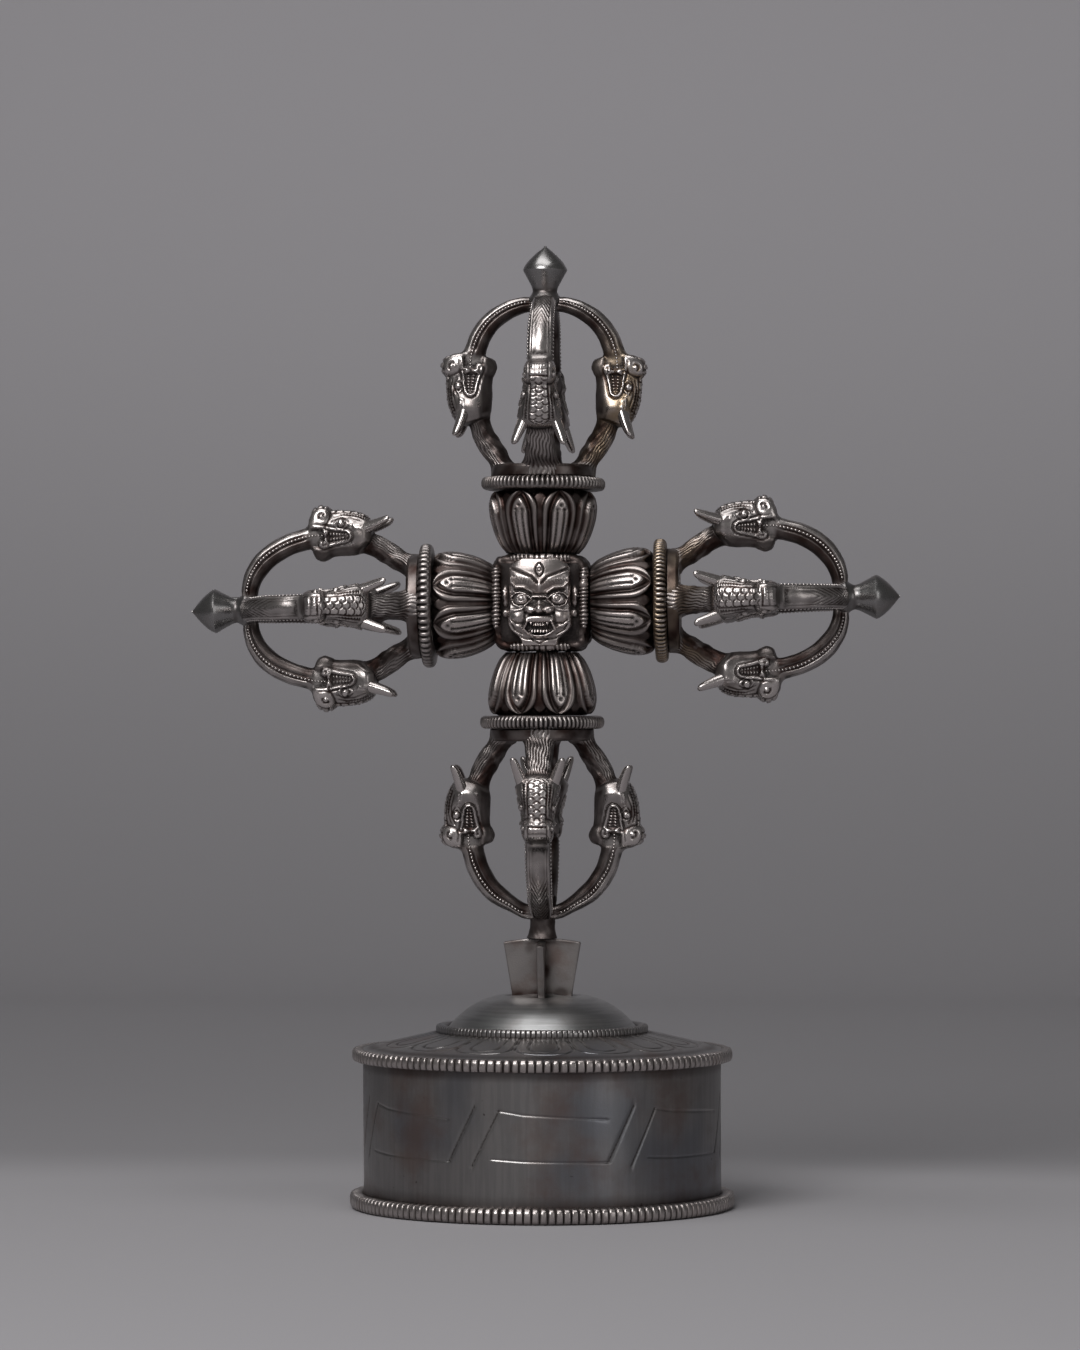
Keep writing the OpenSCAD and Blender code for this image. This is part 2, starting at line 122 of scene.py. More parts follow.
# %% Sockets that can be added and multiplied
class Wire:
    """A socket that is used in a formula as a number is."""

    def __init__(self, finish, socket):
        self.finish = finish
        self.socket = socket

    def maths(self, operation, first, second):
        return self.finish.add("Math", {"operation": operation}, {0: first, 1: second})

    def __add__(self, other):
        return self.maths("ADD", self, other)

    def __radd__(self, other):
        return self.maths("ADD", other, self)

    def __sub__(self, other):
        return self.maths("SUBTRACT", self, other)

    def __rsub__(self, other):
        return self.maths("SUBTRACT", other, self)

    def __mul__(self, other):
        return self.maths("MULTIPLY", self, other)

    def __rmul__(self, other):
        return self.maths("MULTIPLY", other, self)


class Finish:
    """A material whose nodes are added from Python."""

    def __init__(self, name):
        self.material = bpy.data.materials.new(name)
        self.material.use_nodes = True
        self.tree = self.material.node_tree
        self.shader = self.tree.nodes["Principled BSDF"]

    def add(self, kind, settings=None, sockets=None, output=0):
        """Add a node: its settings come first, then the values or links of its sockets."""
        node = self.tree.nodes.new("ShaderNode" + kind)
        for setting, value in (settings or {}).items():
            setattr(node, setting, value)
        for socket, value in (sockets or {}).items():
            self.feed(node.inputs[socket], value)
        return Wire(self, node.outputs[output])

    def feed(self, socket, value):
        if isinstance(value, Wire):
            self.tree.links.new(value.socket, socket)
        else:
            socket.default_value = value

    def surface(self, **sockets):
        """Set the shader's own sockets: base_color feeds Base Color, and so on."""
        for name, value in sockets.items():
            self.feed(self.shader.inputs[name.replace("_", " ").title()], value)

    def mix(self, share, first, second):
        """One colour laid over another."""
        return self.add("Mix", {"data_type": "RGBA"}, {0: share, 6: first, 7: second}, output=2)

    def rise(self, value, low, high):
        """0 below low, 1 above high, and a soft rise between them."""
        sockets = {"Value": value, "From Min": low, "From Max": high}
        return self.add("MapRange", {"interpolation_type": "SMOOTHSTEP"}, sockets)

    def place(self, stretch=(1, 1, 1), centre=(0, 0, 0)):
        """The place on the object in millimetres, counted from a centre and stretched along the axes."""
        coordinates = self.add("TexCoord", output=3)
        scale = [share / MM for share in stretch]
        offset = [-share * middle for share, middle in zip(stretch, centre)]
        return self.add("Mapping", None, {"Vector": coordinates, "Scale": scale, "Location": offset})

    def cloud(self, size, detail, stretch=(1, 1, 1)):
        """Cloudy noise whose patches are about size millimetres across."""
        sockets = {"Vector": self.place(stretch), "Scale": 1 / size, "Detail": detail, "Roughness": 0.55}
        return self.add("TexNoise", None, sockets)

    def attribute(self, name):
        """A number that the mesh keeps at each of its points."""
        return self.add("Attribute", {"attribute_name": name}, output=2)

    def near(self, centre, reach, stretch):
        """1 up to a third of the reach from a place on the object, and 0 beyond the reach."""
        away = self.add("VectorMath", {"operation": "LENGTH"}, {0: self.place(stretch, centre)}, output=1)
        return 1 - self.rise(away, 0.35 * reach, reach)

    def bump(self, height, depth):
        """A normal bent by a height, at a depth in millimetres."""
        return self.add("Bump", None, {"Height": height, "Distance": depth * MM, "Strength": 1.0})


def grey(level, warm=0.0):
    """A linear grey, a little redder by the given share."""
    return (level * (1 + warm), level, level * (1 - 0.35 * warm), 1)


print("shader helpers are ready")

# %% [markdown]
# ## Floor and light
# The stage is a pale sheet that runs from the floor up behind the object in one sweep. It starts as a
# plane: its back edge is extruded upwards, and the fold is bevelled round. The paper is a grey with a
# touch of violet; painted shade makes it darker behind the object, and painted light makes it lighter
# again up the wall, as in the photograph.
# One large soft lamp stands in front, above and a little to the left. It and a lamp overhead make the
# upper sides of the metal shine, and weak lamps in front and on the right keep the shadows open.

# %% Make the sweep
SWEEP_WIDE = 5.0
SWEEP_BACK = 1.6
SWEEP_TALL = 2.6
SWEEP_ROUND = 0.5
SWEEP_STEPS = 16

bpy.ops.object.select_all(action="DESELECT")
bpy.ops.mesh.primitive_plane_add(size=SWEEP_WIDE, location=(0, SWEEP_BACK - SWEEP_WIDE / 2, 0))
bpy.ops.object.transform_apply(location=True, rotation=False, scale=False)
sweep = bpy.context.object
sweep.name = "sweep"


def pick(piece, kind, chosen):
    """Select the chosen edges or faces of a piece, and go into edit mode."""
    mesh = piece.data
    for part in (mesh.vertices, mesh.edges, mesh.polygons):
        part.foreach_set("select", np.zeros(len(part), dtype=bool))
    getattr(mesh, {"EDGE": "edges", "FACE": "polygons"}[kind]).foreach_set("select", chosen)
    bpy.context.tool_settings.mesh_select_mode = (False, kind == "EDGE", kind == "FACE")
    bpy.ops.object.mode_set(mode="EDIT")


def points(piece):
    """The places of all points of a piece, as they are stored in its mesh."""
    flat = np.empty(3 * len(piece.data.vertices))
    piece.data.vertices.foreach_get("co", flat)
    return flat.reshape(-1, 3)


def edge_numbers(piece):
    """The numbers of the two points of every edge of a piece."""
    ends = np.empty(2 * len(piece.data.edges), dtype=np.int32)
    piece.data.edges.foreach_get("vertices", ends)
    return ends[0::2], ends[1::2]


def edge_ends(piece):
    """The places of the two points of every edge of a piece."""
    one, other = edge_numbers(piece)
    places = points(piece)
    return places[one], places[other]


first, second = edge_ends(sweep)
pick(sweep, "EDGE", np.minimum(first[:, 1], second[:, 1]) > SWEEP_BACK - MM)
bpy.ops.mesh.extrude_region_move(TRANSFORM_OT_translate={"value": (0, 0, SWEEP_TALL)})
bpy.ops.object.mode_set(mode="OBJECT")
first, second = edge_ends(sweep)
at_fold = np.minimum(first[:, 1], second[:, 1]) > SWEEP_BACK - MM
at_fold &= np.maximum(first[:, 2], second[:, 2]) < MM
pick(sweep, "EDGE", at_fold)
bpy.ops.mesh.bevel(offset=SWEEP_ROUND, segments=SWEEP_STEPS)
bpy.ops.object.mode_set(mode="OBJECT")
bpy.ops.object.shade_smooth()
print("sweep of", len(sweep.data.polygons), "faces")

# %% Tone of the paper, with painted shade and light
NEAR_TONE = 0.31
FAR_TONE = 0.23
WALL_FOOT_TONE = 0.335
WALL_TOP_TONE = 0.55
FALLS_OFF = (70, 200)
RISES_AGAIN = (190, 1300)
UP_THE_WALL = (0, 560)


def mauve(level):
    """The paper's own grey, a touch of violet in it."""
    return (1.035 * level, level, 1.045 * level, 1)


paper = Finish("pale_paper")
paper_place = paper.place()
paper_back = paper.add("SeparateXYZ", None, {"Vector": paper_place}, output=1)
paper_up = paper.add("SeparateXYZ", None, {"Vector": paper_place}, output=2)
# Painted light and shade: the paper is darker just behind the object and lighter up the wall.
wall_painted_light = paper.mix(paper.rise(paper_up, *UP_THE_WALL), mauve(WALL_FOOT_TONE), mauve(WALL_TOP_TONE))
far_painted_shade = paper.mix(paper.rise(paper_back, *RISES_AGAIN), mauve(FAR_TONE), wall_painted_light)
paper_tone = paper.mix(paper.rise(paper_back, *FALLS_OFF), mauve(NEAR_TONE), far_painted_shade)
paper.surface(base_color=paper_tone, roughness=0.9)
sweep.data.materials.append(paper.material)
print("paper tone from", NEAR_TONE, "on the floor to", WALL_TOP_TONE, "on the wall")

# %% Hang the lamps
LAMP_AIM = Vector((0, 0, 0.15))
WORLD_LEVEL = 0.10
LAMPS = [
    ("key", (-0.50, -1.30, 1.20), (0.90, 0.90), 20),
    ("front", (0.25, -2.30, 0.45), (1.60, 1.20), 1.2),
    ("right", (1.30, -1.30, 0.50), (0.50, 1.00), 2.4),
    ("top", (-0.12, -0.22, 1.45), (1.10, 0.60), 6),
]
for lamp_name, lamp_place, lamp_size, lamp_power in LAMPS:
    bpy.ops.object.light_add(type="AREA", location=lamp_place)
    lamp = bpy.context.object
    lamp.name = lamp_name
    lamp.data.shape = "RECTANGLE"
    lamp.data.size, lamp.data.size_y = lamp_size
    lamp.data.energy = lamp_power
    towards = LAMP_AIM - Vector(lamp_place)
    lamp.rotation_euler = towards.to_track_quat("-Z", "Y").to_euler()

bpy.context.scene.view_settings.view_transform = "Standard"
world = bpy.data.worlds.new("studio")
world.use_nodes = True
world.node_tree.nodes["Background"].inputs["Color"].default_value = grey(WORLD_LEVEL)
bpy.context.scene.world = world
print("lamps:", [lamp[0] for lamp in LAMPS])

# %% [markdown]
# ## The irons
# Every piece is iron, yet no two look alike. The drum is sheet with brown and bluish patches from the
# fire, the dome is brushed, the carved parts have soot and rust down in their grooves and bright worn
# ridges, and the tips are polished. All of them share one recipe: a level colour, patches of rust, dark
# grooves and bright ridges that follow the piece's relief, a darkening from a second attribute that
# holds soot and dirt together with painted shade in creases, under parts and between them, and a fine
# tooth in the surface. Sheet also shows the grain of the brush and small pits, and a few places on the
# right arm and on one head at the top have a brassy sheen.

# %% The recipe for worn iron
# SOOT_AND_SHADE darkens the grooves: soot in the cuts, and painted shade where a rule lowers the relief.
SOOT_AND_SHADE = (0.013, 0.008, 0.007, 1)
BROWN = (0.112, 0.064, 0.050, 1)
# GRIME_AND_SHADE is the dark brown of pits, soot and dirt, and of painted shade at creases and joins.
GRIME_AND_SHADE = (0.034, 0.019, 0.016, 1)
BRASS = (0.290, 0.200, 0.105, 1)
BLUE = (0.125, 0.137, 0.165, 1)
GROOVE_RELIEF = (0.16, 0.47)
RIDGE_RELIEF = (0.54, 0.82)
RUST_PATCHES = (0.48, 0.72)
FIRED_PATCHES = (0.46, 0.66)
BRUSH_STREAKS = (0.38, 0.62)
METAL = {"rust": 0.35, "patch": 9, "tooth": 0.03, "warm": 0.05, "blue": 0.0, "pits": 0.0, "brush": 0.0,
         "grain": (0.10, 0.10, 2.5), "brass": ()}


def worn_iron(name, level, ridge, rough, ridge_rough, **changes):
    """Iron that is sooty in its grooves, brown in patches, bright on its ridges and darkened by soot and
    painted shade.

    The piece's relief is 0 in the grooves, 0.5 on the level and 1 on the ridges.
    """
    metal = {**METAL, **changes}
    finish = Finish(name)
    relief = finish.attribute("relief")
    grime_and_shade = finish.attribute("grime_and_shade")
    patches = finish.cloud(metal["patch"], detail=5)
    specks = finish.cloud(0.55, detail=2)
    groove = 1 - finish.rise(relief, *GROOVE_RELIEF)
    worn = finish.rise(relief, *RIDGE_RELIEF) * (1 - 0.75 * grime_and_shade)
    rusted = finish.rise(patches, *RUST_PATCHES) * metal["rust"]
    colour = grey(level, metal["warm"])
    if metal["blue"]:
        fired = finish.rise(finish.cloud(38, detail=2), *FIRED_PATCHES) * metal["blue"]
        colour = finish.mix(fired, colour, BLUE)
    if metal["brush"]:
        streaks = finish.cloud(2.2, detail=3, stretch=metal["grain"])
        brushed = finish.rise(streaks, *BRUSH_STREAKS) * metal["brush"]
        colour = finish.mix(brushed, colour, grey(0.6 * level))
    for centre, reach, stretch in metal["brass"]:
        colour = finish.mix(finish.near(centre, reach, stretch) * 0.7, colour, BRASS)
    colour = finish.mix(rusted, colour, BROWN)
    if metal["pits"]:
        pitted = finish.rise(finish.cloud(2.0, detail=1), 0.76, 0.82) * metal["pits"]
        colour = finish.mix(pitted, colour, GRIME_AND_SHADE)
    # Darken by the grime_and_shade attribute: soot and dirt, and painted shade in creases, under parts and
    # between them.
    colour = finish.mix(grime_and_shade * (0.72 + 0.28 * finish.rise(patches, 0.35, 0.6)), colour, GRIME_AND_SHADE)
    colour = finish.mix(worn, colour, grey(ridge, metal["warm"]))
    colour = finish.mix(groove * (0.70 + 0.30 * finish.rise(specks, 0.3, 0.6)), colour, SOOT_AND_SHADE)
    shine = rough + groove * 0.25 + rusted * 0.15 + grime_and_shade * 0.10 + (specks - 0.5) * 0.12
    finish.surface(
        base_color=colour,
        metallic=1 - 0.60 * groove - 0.25 * rusted,
        roughness=shine - worn * (rough - ridge_rough),
        normal=finish.bump(specks, metal["tooth"]),
    )
    return finish


print("recipe for worn iron, with", list(METAL))

# %% The irons of this piece
RIGHT_RING = ((38, 0, HUB_Z), 44, (3, 1, 1))
RIGHT_COLLAR = ((42, 0, HUB_Z), 28, (4, 1, 1))
RIGHT_ROOTS = ((47, 0, HUB_Z), 30, (2, 1, 1))
TOP_RIGHT_HEAD = ((22, 0, HUB_Z + 60), 24, (1, 1, 0.7))
IRONS = {
    "sheet_iron": dict(level=0.25, ridge=0.34, rough=0.33, ridge_rough=0.28, rust=0.65, patch=24, tooth=0.02,
                       blue=0.6, pits=0.7, brush=0.3, grain=(1.6, 1.6, 0.10)),
    "dome_iron": dict(level=0.34, ridge=0.40, rough=0.35, ridge_rough=0.33, rust=0.20, tooth=0.02, warm=0,
                      brush=0.5),
    "ring_iron": dict(level=0.26, ridge=0.49, rough=0.33, ridge_rough=0.26, warm=0.10, brass=[RIGHT_RING]),
    "plate_iron": dict(level=0.24, ridge=0.33, rough=0.40, ridge_rough=0.34, rust=0.60, tooth=0.05,
                       warm=0.08),
    "carved_iron": dict(level=0.27, ridge=0.52, rough=0.31, ridge_rough=0.24, rust=0.45, warm=0.12,
                        brass=[RIGHT_COLLAR]),
    "prong_iron": dict(level=0.29, ridge=0.50, rough=0.30, ridge_rough=0.24, warm=0.09,
                       brass=[RIGHT_ROOTS, TOP_RIGHT_HEAD]),
    "polished_iron": dict(level=0.27, ridge=0.40, rough=0.28, ridge_rough=0.24, rust=0.30, tooth=0.015,
                          warm=0.03),
}
FINISHES = {name: worn_iron(name, **iron) for name, iron in IRONS.items()}
print("finishes:", list(FINISHES))

# %% [markdown]
# ## Blanks and chasing
# A smith forges a plain blank and then chases the ornament into it with punches. The pieces are made
# the same way. A blank is a primitive that is subdivided in edit mode until it is fine enough, and its
# points are then moved by a rule: first to the forged form, and then along their own normals by the
# depth of the chasing. Operators alone can't cut hundreds of fine grooves that follow a curved surface,
# and a bump map wouldn't show on the outline.

# %% Blanks
LEVEL_WITHIN = 1e-5


def named(name):
    """Name the piece that was just made, and its mesh."""
    piece = bpy.context.object
    piece.name = name
    piece.data.name = name
    return piece


def divide(piece, chosen, cuts):
    """Cut the chosen edges of a piece into shorter ones."""
    pick(piece, "EDGE", chosen)
    bpy.ops.mesh.subdivide(number_cuts=cuts)
    bpy.ops.object.mode_set(mode="OBJECT")


def tube_blank(name, sides, cuts):
    """A closed tube one unit long; each entry of cuts divides its length again.

    Gives the angle about its axis, the share of its length and the share of its radius at each point.
    """
    bpy.ops.object.select_all(action="DESELECT")
    bpy.ops.mesh.primitive_cylinder_add(
        vertices=sides, radius=1, depth=1, end_fill_type="TRIFAN", location=(0, 0, 0.5))
    bpy.ops.object.transform_apply(location=True, rotation=False, scale=False)
    piece = named(name)
    for cut in cuts:
        first, second = edge_ends(piece)
        divide(piece, np.abs(first[:, 2] - second[:, 2]) > LEVEL_WITHIN, cut)
    x, y, z = points(piece).T
    return piece, np.arctan2(y, x), z, np.hypot(x, y)


def ring_blank(name, around, section, cuts):
    """A closed ring; gives the angle about its axis and the share of the way round its section."""
    bpy.ops.object.select_all(action="DESELECT")
    bpy.ops.mesh.primitive_torus_add(
        major_segments=around // (cuts + 1), minor_segments=section, major_radius=2, minor_radius=1)
    piece = named(name)
    first, second = edge_ends(piece)
    level = np.abs(first[:, 2] - second[:, 2]) < LEVEL_WITHIN
    level &= np.abs(np.hypot(*first[:, :2].T) - np.hypot(*second[:, :2].T)) < LEVEL_WITHIN
    divide(piece, level, cuts)
    x, y, z = points(piece).T
    share = np.arctan2(z, np.hypot(x, y) - 2) / (2 * np.pi)
    return piece, np.arctan2(y, x), np.round(share * section) / section % 1


def grid_blank(name, across, up):
    """A flat sheet from -1 to 1 both ways; gives the places across and up."""
    bpy.ops.object.select_all(action="DESELECT")
    bpy.ops.mesh.primitive_grid_add(x_subdivisions=across, y_subdivisions=up, size=2)
    piece = named(name)
    x, y, _ = points(piece).T
    return piece, x, y


print("blanks: tube, ring and grid")

# %% Moving points
def put(piece, x, y, z):
    """Put every point of a piece at a place in millimetres."""
    places = np.stack(np.broadcast_arrays(x, y, z), axis=1) * MM
    piece.data.vertices.foreach_set("co", places.ravel())
    piece.data.update()


def facing(piece):
    """The normals at all points of a piece."""
    flat = np.empty(3 * len(piece.data.vertices))
    piece.data.vertex_normals.foreach_get("vector", flat)
    return flat.reshape(-1, 3)


def chase(piece, depth):
    """Raise the points of a piece along their normals, or sink them where the depth is negative."""
    x, y, z = (points(piece) / MM + facing(piece) * np.asarray(depth)[:, None]).T
    put(piece, x, y, z)


def turn_outwards(piece):
    """Make all faces of a closed piece look outwards."""
    pick(piece, "FACE", np.ones(len(piece.data.polygons), dtype=bool))
    bpy.ops.mesh.normals_make_consistent(inside=False)
    bpy.ops.object.mode_set(mode="OBJECT")


def polar(angle, radius):
    """The two places across an axis, from an angle about it and a radius."""
    return radius * np.cos(angle), radius * np.sin(angle)


print("points can be put in place and raised or sunk")

# %% Rules for shapes
def soft_step(value, low, high):
    """A soft rise from 0 at low to 1 at high, or a soft fall where low is the greater of the two."""
    share = np.clip((value - low) / (high - low), 0, 1)
    return share * share * (3 - 2 * share)


def between(value, low, full, still_full, high):
    """1 from full to still_full, and 0 below low and above high, with soft ends."""
    return soft_step(value, low, full) * soft_step(value, high, still_full)


def hump(distance, width):
    """1 at distance 0, falling away softly over the width."""
    return np.exp(-(distance / width) ** 2)


def cap(distance):
    """The height of half a ball: 1 at distance 0, and 0 from distance 1 on."""
    return np.sqrt(np.clip(1 - distance ** 2, 0, 1))


def to_path(x, y, path):
    """Distance from points of a plane to a path of straight strokes."""
    nearest = np.full(np.shape(x), np.inf)
    for (x0, y0), (x1, y1) in zip(path[:-1], path[1:]):
        length = (x1 - x0) ** 2 + (y1 - y0) ** 2
        share = np.clip(((x - x0) * (x1 - x0) + (y - y0) * (y1 - y0)) / length, 0, 1)
        nearest = np.minimum(nearest, np.hypot(x - x0 - share * (x1 - x0), y - y0 - share * (y1 - y0)))
    return nearest


def uneven(x, y, z, size, seed):
    """Soft unevenness of hand work, about -1 to 1, with swells about size millimetres across."""
    swell = 0
    for turn in range(4):
        lean = seed * 1.7 + turn * 2.4
        along = x * math.cos(lean) + y * math.sin(lean) * math.cos(turn) + z * math.sin(turn + 0.6 * seed)
        swell = swell + np.sin(2 * np.pi * along / (size * (1 + 0.37 * turn)) + 3.1 * seed + turn)
    return swell / 2.5


def through(value, knots, heights):
    """A smooth curve through a few points, with no overshoot between them."""
    knots = np.asarray(knots, dtype=float)
    heights = np.asarray(heights, dtype=float)
    gap = np.diff(knots)
    rise = np.diff(heights) / gap
    product = rise[:-1] * rise[1:]
    slope = np.concatenate([rise[:1], np.zeros(len(rise) - 1), rise[-1:]])
    bends = np.flatnonzero(product > 0)
    slope[bends + 1] = 2 * product[bends] / (rise[bends] + rise[bends + 1])
    k = np.clip(np.searchsorted(knots, value) - 1, 0, len(gap) - 1)
    t = np.clip((value - knots[k]) / gap[k], 0, 1)
    level = heights[k] * (1 + 2 * t) * (1 - t) ** 2 + heights[k + 1] * t * t * (3 - 2 * t)
    return level + gap[k] * (slope[k] * t * (1 - t) ** 2 + slope[k + 1] * t * t * (t - 1))


print("chasing tools are ready")

# %% [markdown]
# The finish of a carved piece needs to know what is groove and what is ridge. That is measured on the
# mesh: every point is compared with the average of its neighbours, and theirs, so a point that stands
# above its surroundings counts as ridge and one that lies below as groove. The result is kept as an
# attribute of the mesh, which the finish reads. Where a cut's place is known from its own rule, as on
# the rings and the lotus, that rule writes the attribute, and a second one says where soot has gathered
# and where shade is painted.

# %% Measure the relief and finish a piece
def keep(piece, name, values):
    """Keep a number from 0 to 1 at every point of a piece, under a name that the finishes read."""
    values = np.broadcast_to(np.clip(values, 0, 1), len(piece.data.vertices))
    layer = piece.data.attributes.get(name) or piece.data.attributes.new(name, "FLOAT", "POINT")
    layer.data.foreach_set("value", values.astype(np.float32))


def kept(piece, name):
    """The numbers that were kept under a name."""
    values = np.empty(len(piece.data.vertices), dtype=np.float32)
    piece.data.attributes[name].data.foreach_get("value", values)
    return values


def mark_relief(piece, passes, reach):
    """Keep in the mesh how far each point stands above its smoothed surroundings."""
    count = len(piece.data.vertices)
    one, other = edge_numbers(piece)
    neighbours = np.bincount(one, minlength=count) + np.bincount(other, minlength=count)
    places = points(piece) / MM
    smooth = places.copy()
    for _ in range(passes):
        total = [np.bincount(one, smooth[other, axis], count) + np.bincount(other, smooth[one, axis], count)
                 for axis in range(3)]
        smooth = np.stack(total, axis=1) / neighbours[:, None]
    height = ((places - smooth) * facing(piece)).sum(axis=1)
    keep(piece, "relief", 0.5 + height / (2 * reach))


def surface_piece(piece, finish, sharp=None):
    """Shade a piece smooth, apart from edges over the sharp angle, and give it its finish."""
    bpy.ops.object.select_all(action="DESELECT")
    piece.select_set(True)
    bpy.context.view_layer.objects.active = piece
    if sharp is None:
        bpy.ops.object.shade_smooth()
    else:
        bpy.ops.object.shade_smooth_by_angle(angle=math.radians(sharp))
    piece.data.materials.clear()
    piece.data.materials.append(FINISHES[finish].material)


def enter_frame(piece, slot, body, *nodes):
    """Say what body a piece moves with and which nodes it stands for. The slot is not used."""
    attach(piece, body)
    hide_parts(*nodes)
    print(piece.name, len(piece.data.polygons), "faces")


def dress(piece, slot, body, *nodes, finish=None, sharp=None):
    """Finish a piece that is used once."""
    surface_piece(piece, finish or slot, sharp)
    enter_frame(piece, slot, body, *nodes)


def copy_piece(piece, name, matrix):
    """A copy with its own mesh, put in its place by moving the points of the mesh."""
    twin = piece.copy()
    twin.data = piece.data.copy()
    twin.name = name
    twin.data.name = name
    twin.data.transform(matrix)
    bpy.context.scene.collection.objects.link(twin)
    return twin


print("pieces can be given a relief, a finish and a place in the frame")

# %% [markdown]
# ## The drum
# The drum is a strip of sheet iron bent round and brazed, with a fret of slanted strokes scratched into
# it by hand. A torus is a good blank for any ring of sheet: its section is stretched to the wall's
# outline, with most of its rows in the band where the fret is cut, and the strokes are sunk into it.

# %% Drum wall with its fret
def along_section(share, outline):
    """Radius and height at a share of the way round a section, from (share, radius, height) corners."""
    shares, radii, heights = np.array(outline).T
    return np.interp(share, shares, radii), np.interp(share, shares, heights)


def from_front(angle):
    """The angle about the stand's axis, counted from the front, in degrees."""
    return (np.degrees(angle) + 90 + 180) % 360 - 180


drum_low, drum_high = corners("drum_wall")
DRUM_SHEET = 1.2
FRET_UNITS = 7
FRET_START = -27.2
SLANTS = [[(0, 18.6), (8.9, 35.8)], [(7.8, 17.2), (16.5, 34.2)]]
LEVELS = [[(16.5, 34.2), (24, 33.0), (50.0, 31.4)], [(14.2, 19.5), (24, 18.9), (50.4, 18.4)]]
SLANT_W, SLANT_DEPTH = 0.40, 0.30
LEVEL_W, LEVEL_DEPTH = 0.30, 0.20
FOOT_GRIME_Z, UNDER_LID_SHADE_Z = 5.0, 45.0

drum, angle, share = ring_blank("drum_sheet", 720, 88, 3)
drum_in = DRUM_R - DRUM_SHEET
radius, height = along_section(share, [
    (0, DRUM_R, 26.0), (0.08, DRUM_R, 31.0), (0.33, DRUM_R, 35.2), (0.42, DRUM_R, drum_high[2]),
    (0.44, drum_in, drum_high[2]), (0.56, drum_in, drum_low[2]), (0.58, DRUM_R, drum_low[2]),
    (0.68, DRUM_R, 17.2), (0.90, DRUM_R, 20.2), (1, DRUM_R, 26.0)])
put(drum, *polar(angle, radius), height)
arc_mm = math.radians(1) * DRUM_R
cut = 0
dark = 0
for unit in range(FRET_UNITS):
    start = FRET_START + unit * 360 / FRET_UNITS
    along = ((from_front(angle) - start + 90) % 360 - 90) * arc_mm
    for stroke in SLANTS:
        scratch = hump(to_path(along, height, stroke), SLANT_W)
        cut = cut - SLANT_DEPTH * scratch
        dark = np.maximum(dark, scratch)
    for stroke in LEVELS:
        cut = cut - LEVEL_DEPTH * hump(to_path(along, height, stroke), LEVEL_W)
outside = radius > DRUM_R - 0.3
drum_x, drum_y, drum_z = points(drum).T / MM
dents = 0.10 * uneven(drum_x, drum_y, drum_z, 34, 1) + 0.03 * uneven(drum_x, drum_y, drum_z, 13, 2)
chase(drum, outside * (cut + dents - 0.14))
# Painted shade in the slanted strokes: they are made darker than the level ones.
keep(drum, "relief", 0.5 - 0.34 * dark)
# Stains in a band at the foot, and painted shade in a band just under the lid ring.
keep(drum, "grime_and_shade", 0.75 * (hump(height - FOOT_GRIME_Z, 2.4) + hump(height - UNDER_LID_SHADE_Z, 1.3)))
dress(drum, "sheet_iron", "stand", "drum_wall", sharp=50)

# %% [markdown]
# ## The filed rings
# The lid, the foot and the dome are edged with wire, and the smith filed a notch across it every few
# millimetres. By hand the notches are never quite alike, so each one gets its own place, width and
# depth from its number. The same function makes the beaded rings of the arms.

# %% One function for all filed rings
NOTCH_STEPS = 8
NOTCH_END = 16


def filed_ring(name, ring_r, wire_r, height, notches, rows, notch_w, notch_depth, cut_from, cut_to,
               square=3.8):
    """A wire ring with notches filed across its section between two angles, in degrees."""
    ring, angle, share = ring_blank(name, notches * NOTCH_STEPS, rows, NOTCH_STEPS - 1)
    around = share * 2 * np.pi
    turn = (angle / (2 * np.pi)) % 1 * notches
    number = np.round(turn)
    local = turn - number
    local = np.sign(local) * 0.5 * np.abs(2 * local) ** 1.7
    shift = 0.11 * np.sin(number % notches * 12.99 + 1)
    angle = (number + local + shift * (1 - 2 * np.abs(local))) * 2 * np.pi / notches
    boxy = (np.abs(np.cos(around)) ** square + np.abs(np.sin(around)) ** square) ** (-1 / square)
    out = ring_r + wire_r * boxy * np.cos(around)
    x, y = polar(angle, out)
    put(ring, x, y, height + wire_r * boxy * np.sin(around))
    away = local * 2 * np.pi * (ring_r + wire_r) / notches
    width = notch_w * (1 + 0.20 * np.sin(number % notches * 7.3))
    depth = notch_depth * (1 + 0.22 * np.sin(number % notches * 5.1 + 2))
    across = np.degrees(around)
    across = np.where(across > 225, across - 360, across)
    where = soft_step(across, cut_from - NOTCH_END, cut_from + NOTCH_END)
    where = where * soft_step(across, cut_to + NOTCH_END, cut_to - NOTCH_END)
    notch = where * np.exp(-np.abs(away / width) ** 3)
    chase(ring, 0.05 * uneven(x, y, 0, 9, 3) - notch * depth)
    keep(ring, "relief", 0.5 + 0.20 * where - 0.95 * notch)
    keep(ring, "grime_and_shade", 0.2 * (1 - where) + 0.8 * notch)
    return ring


print("each notch is cut in", NOTCH_STEPS, "steps")

# %% The three rings of the stand
def half_height(node):
    """Half the height of a node."""
    low, high = corners(node)
    return (high[2] - low[2]) / 2


RING_ROWS = 16
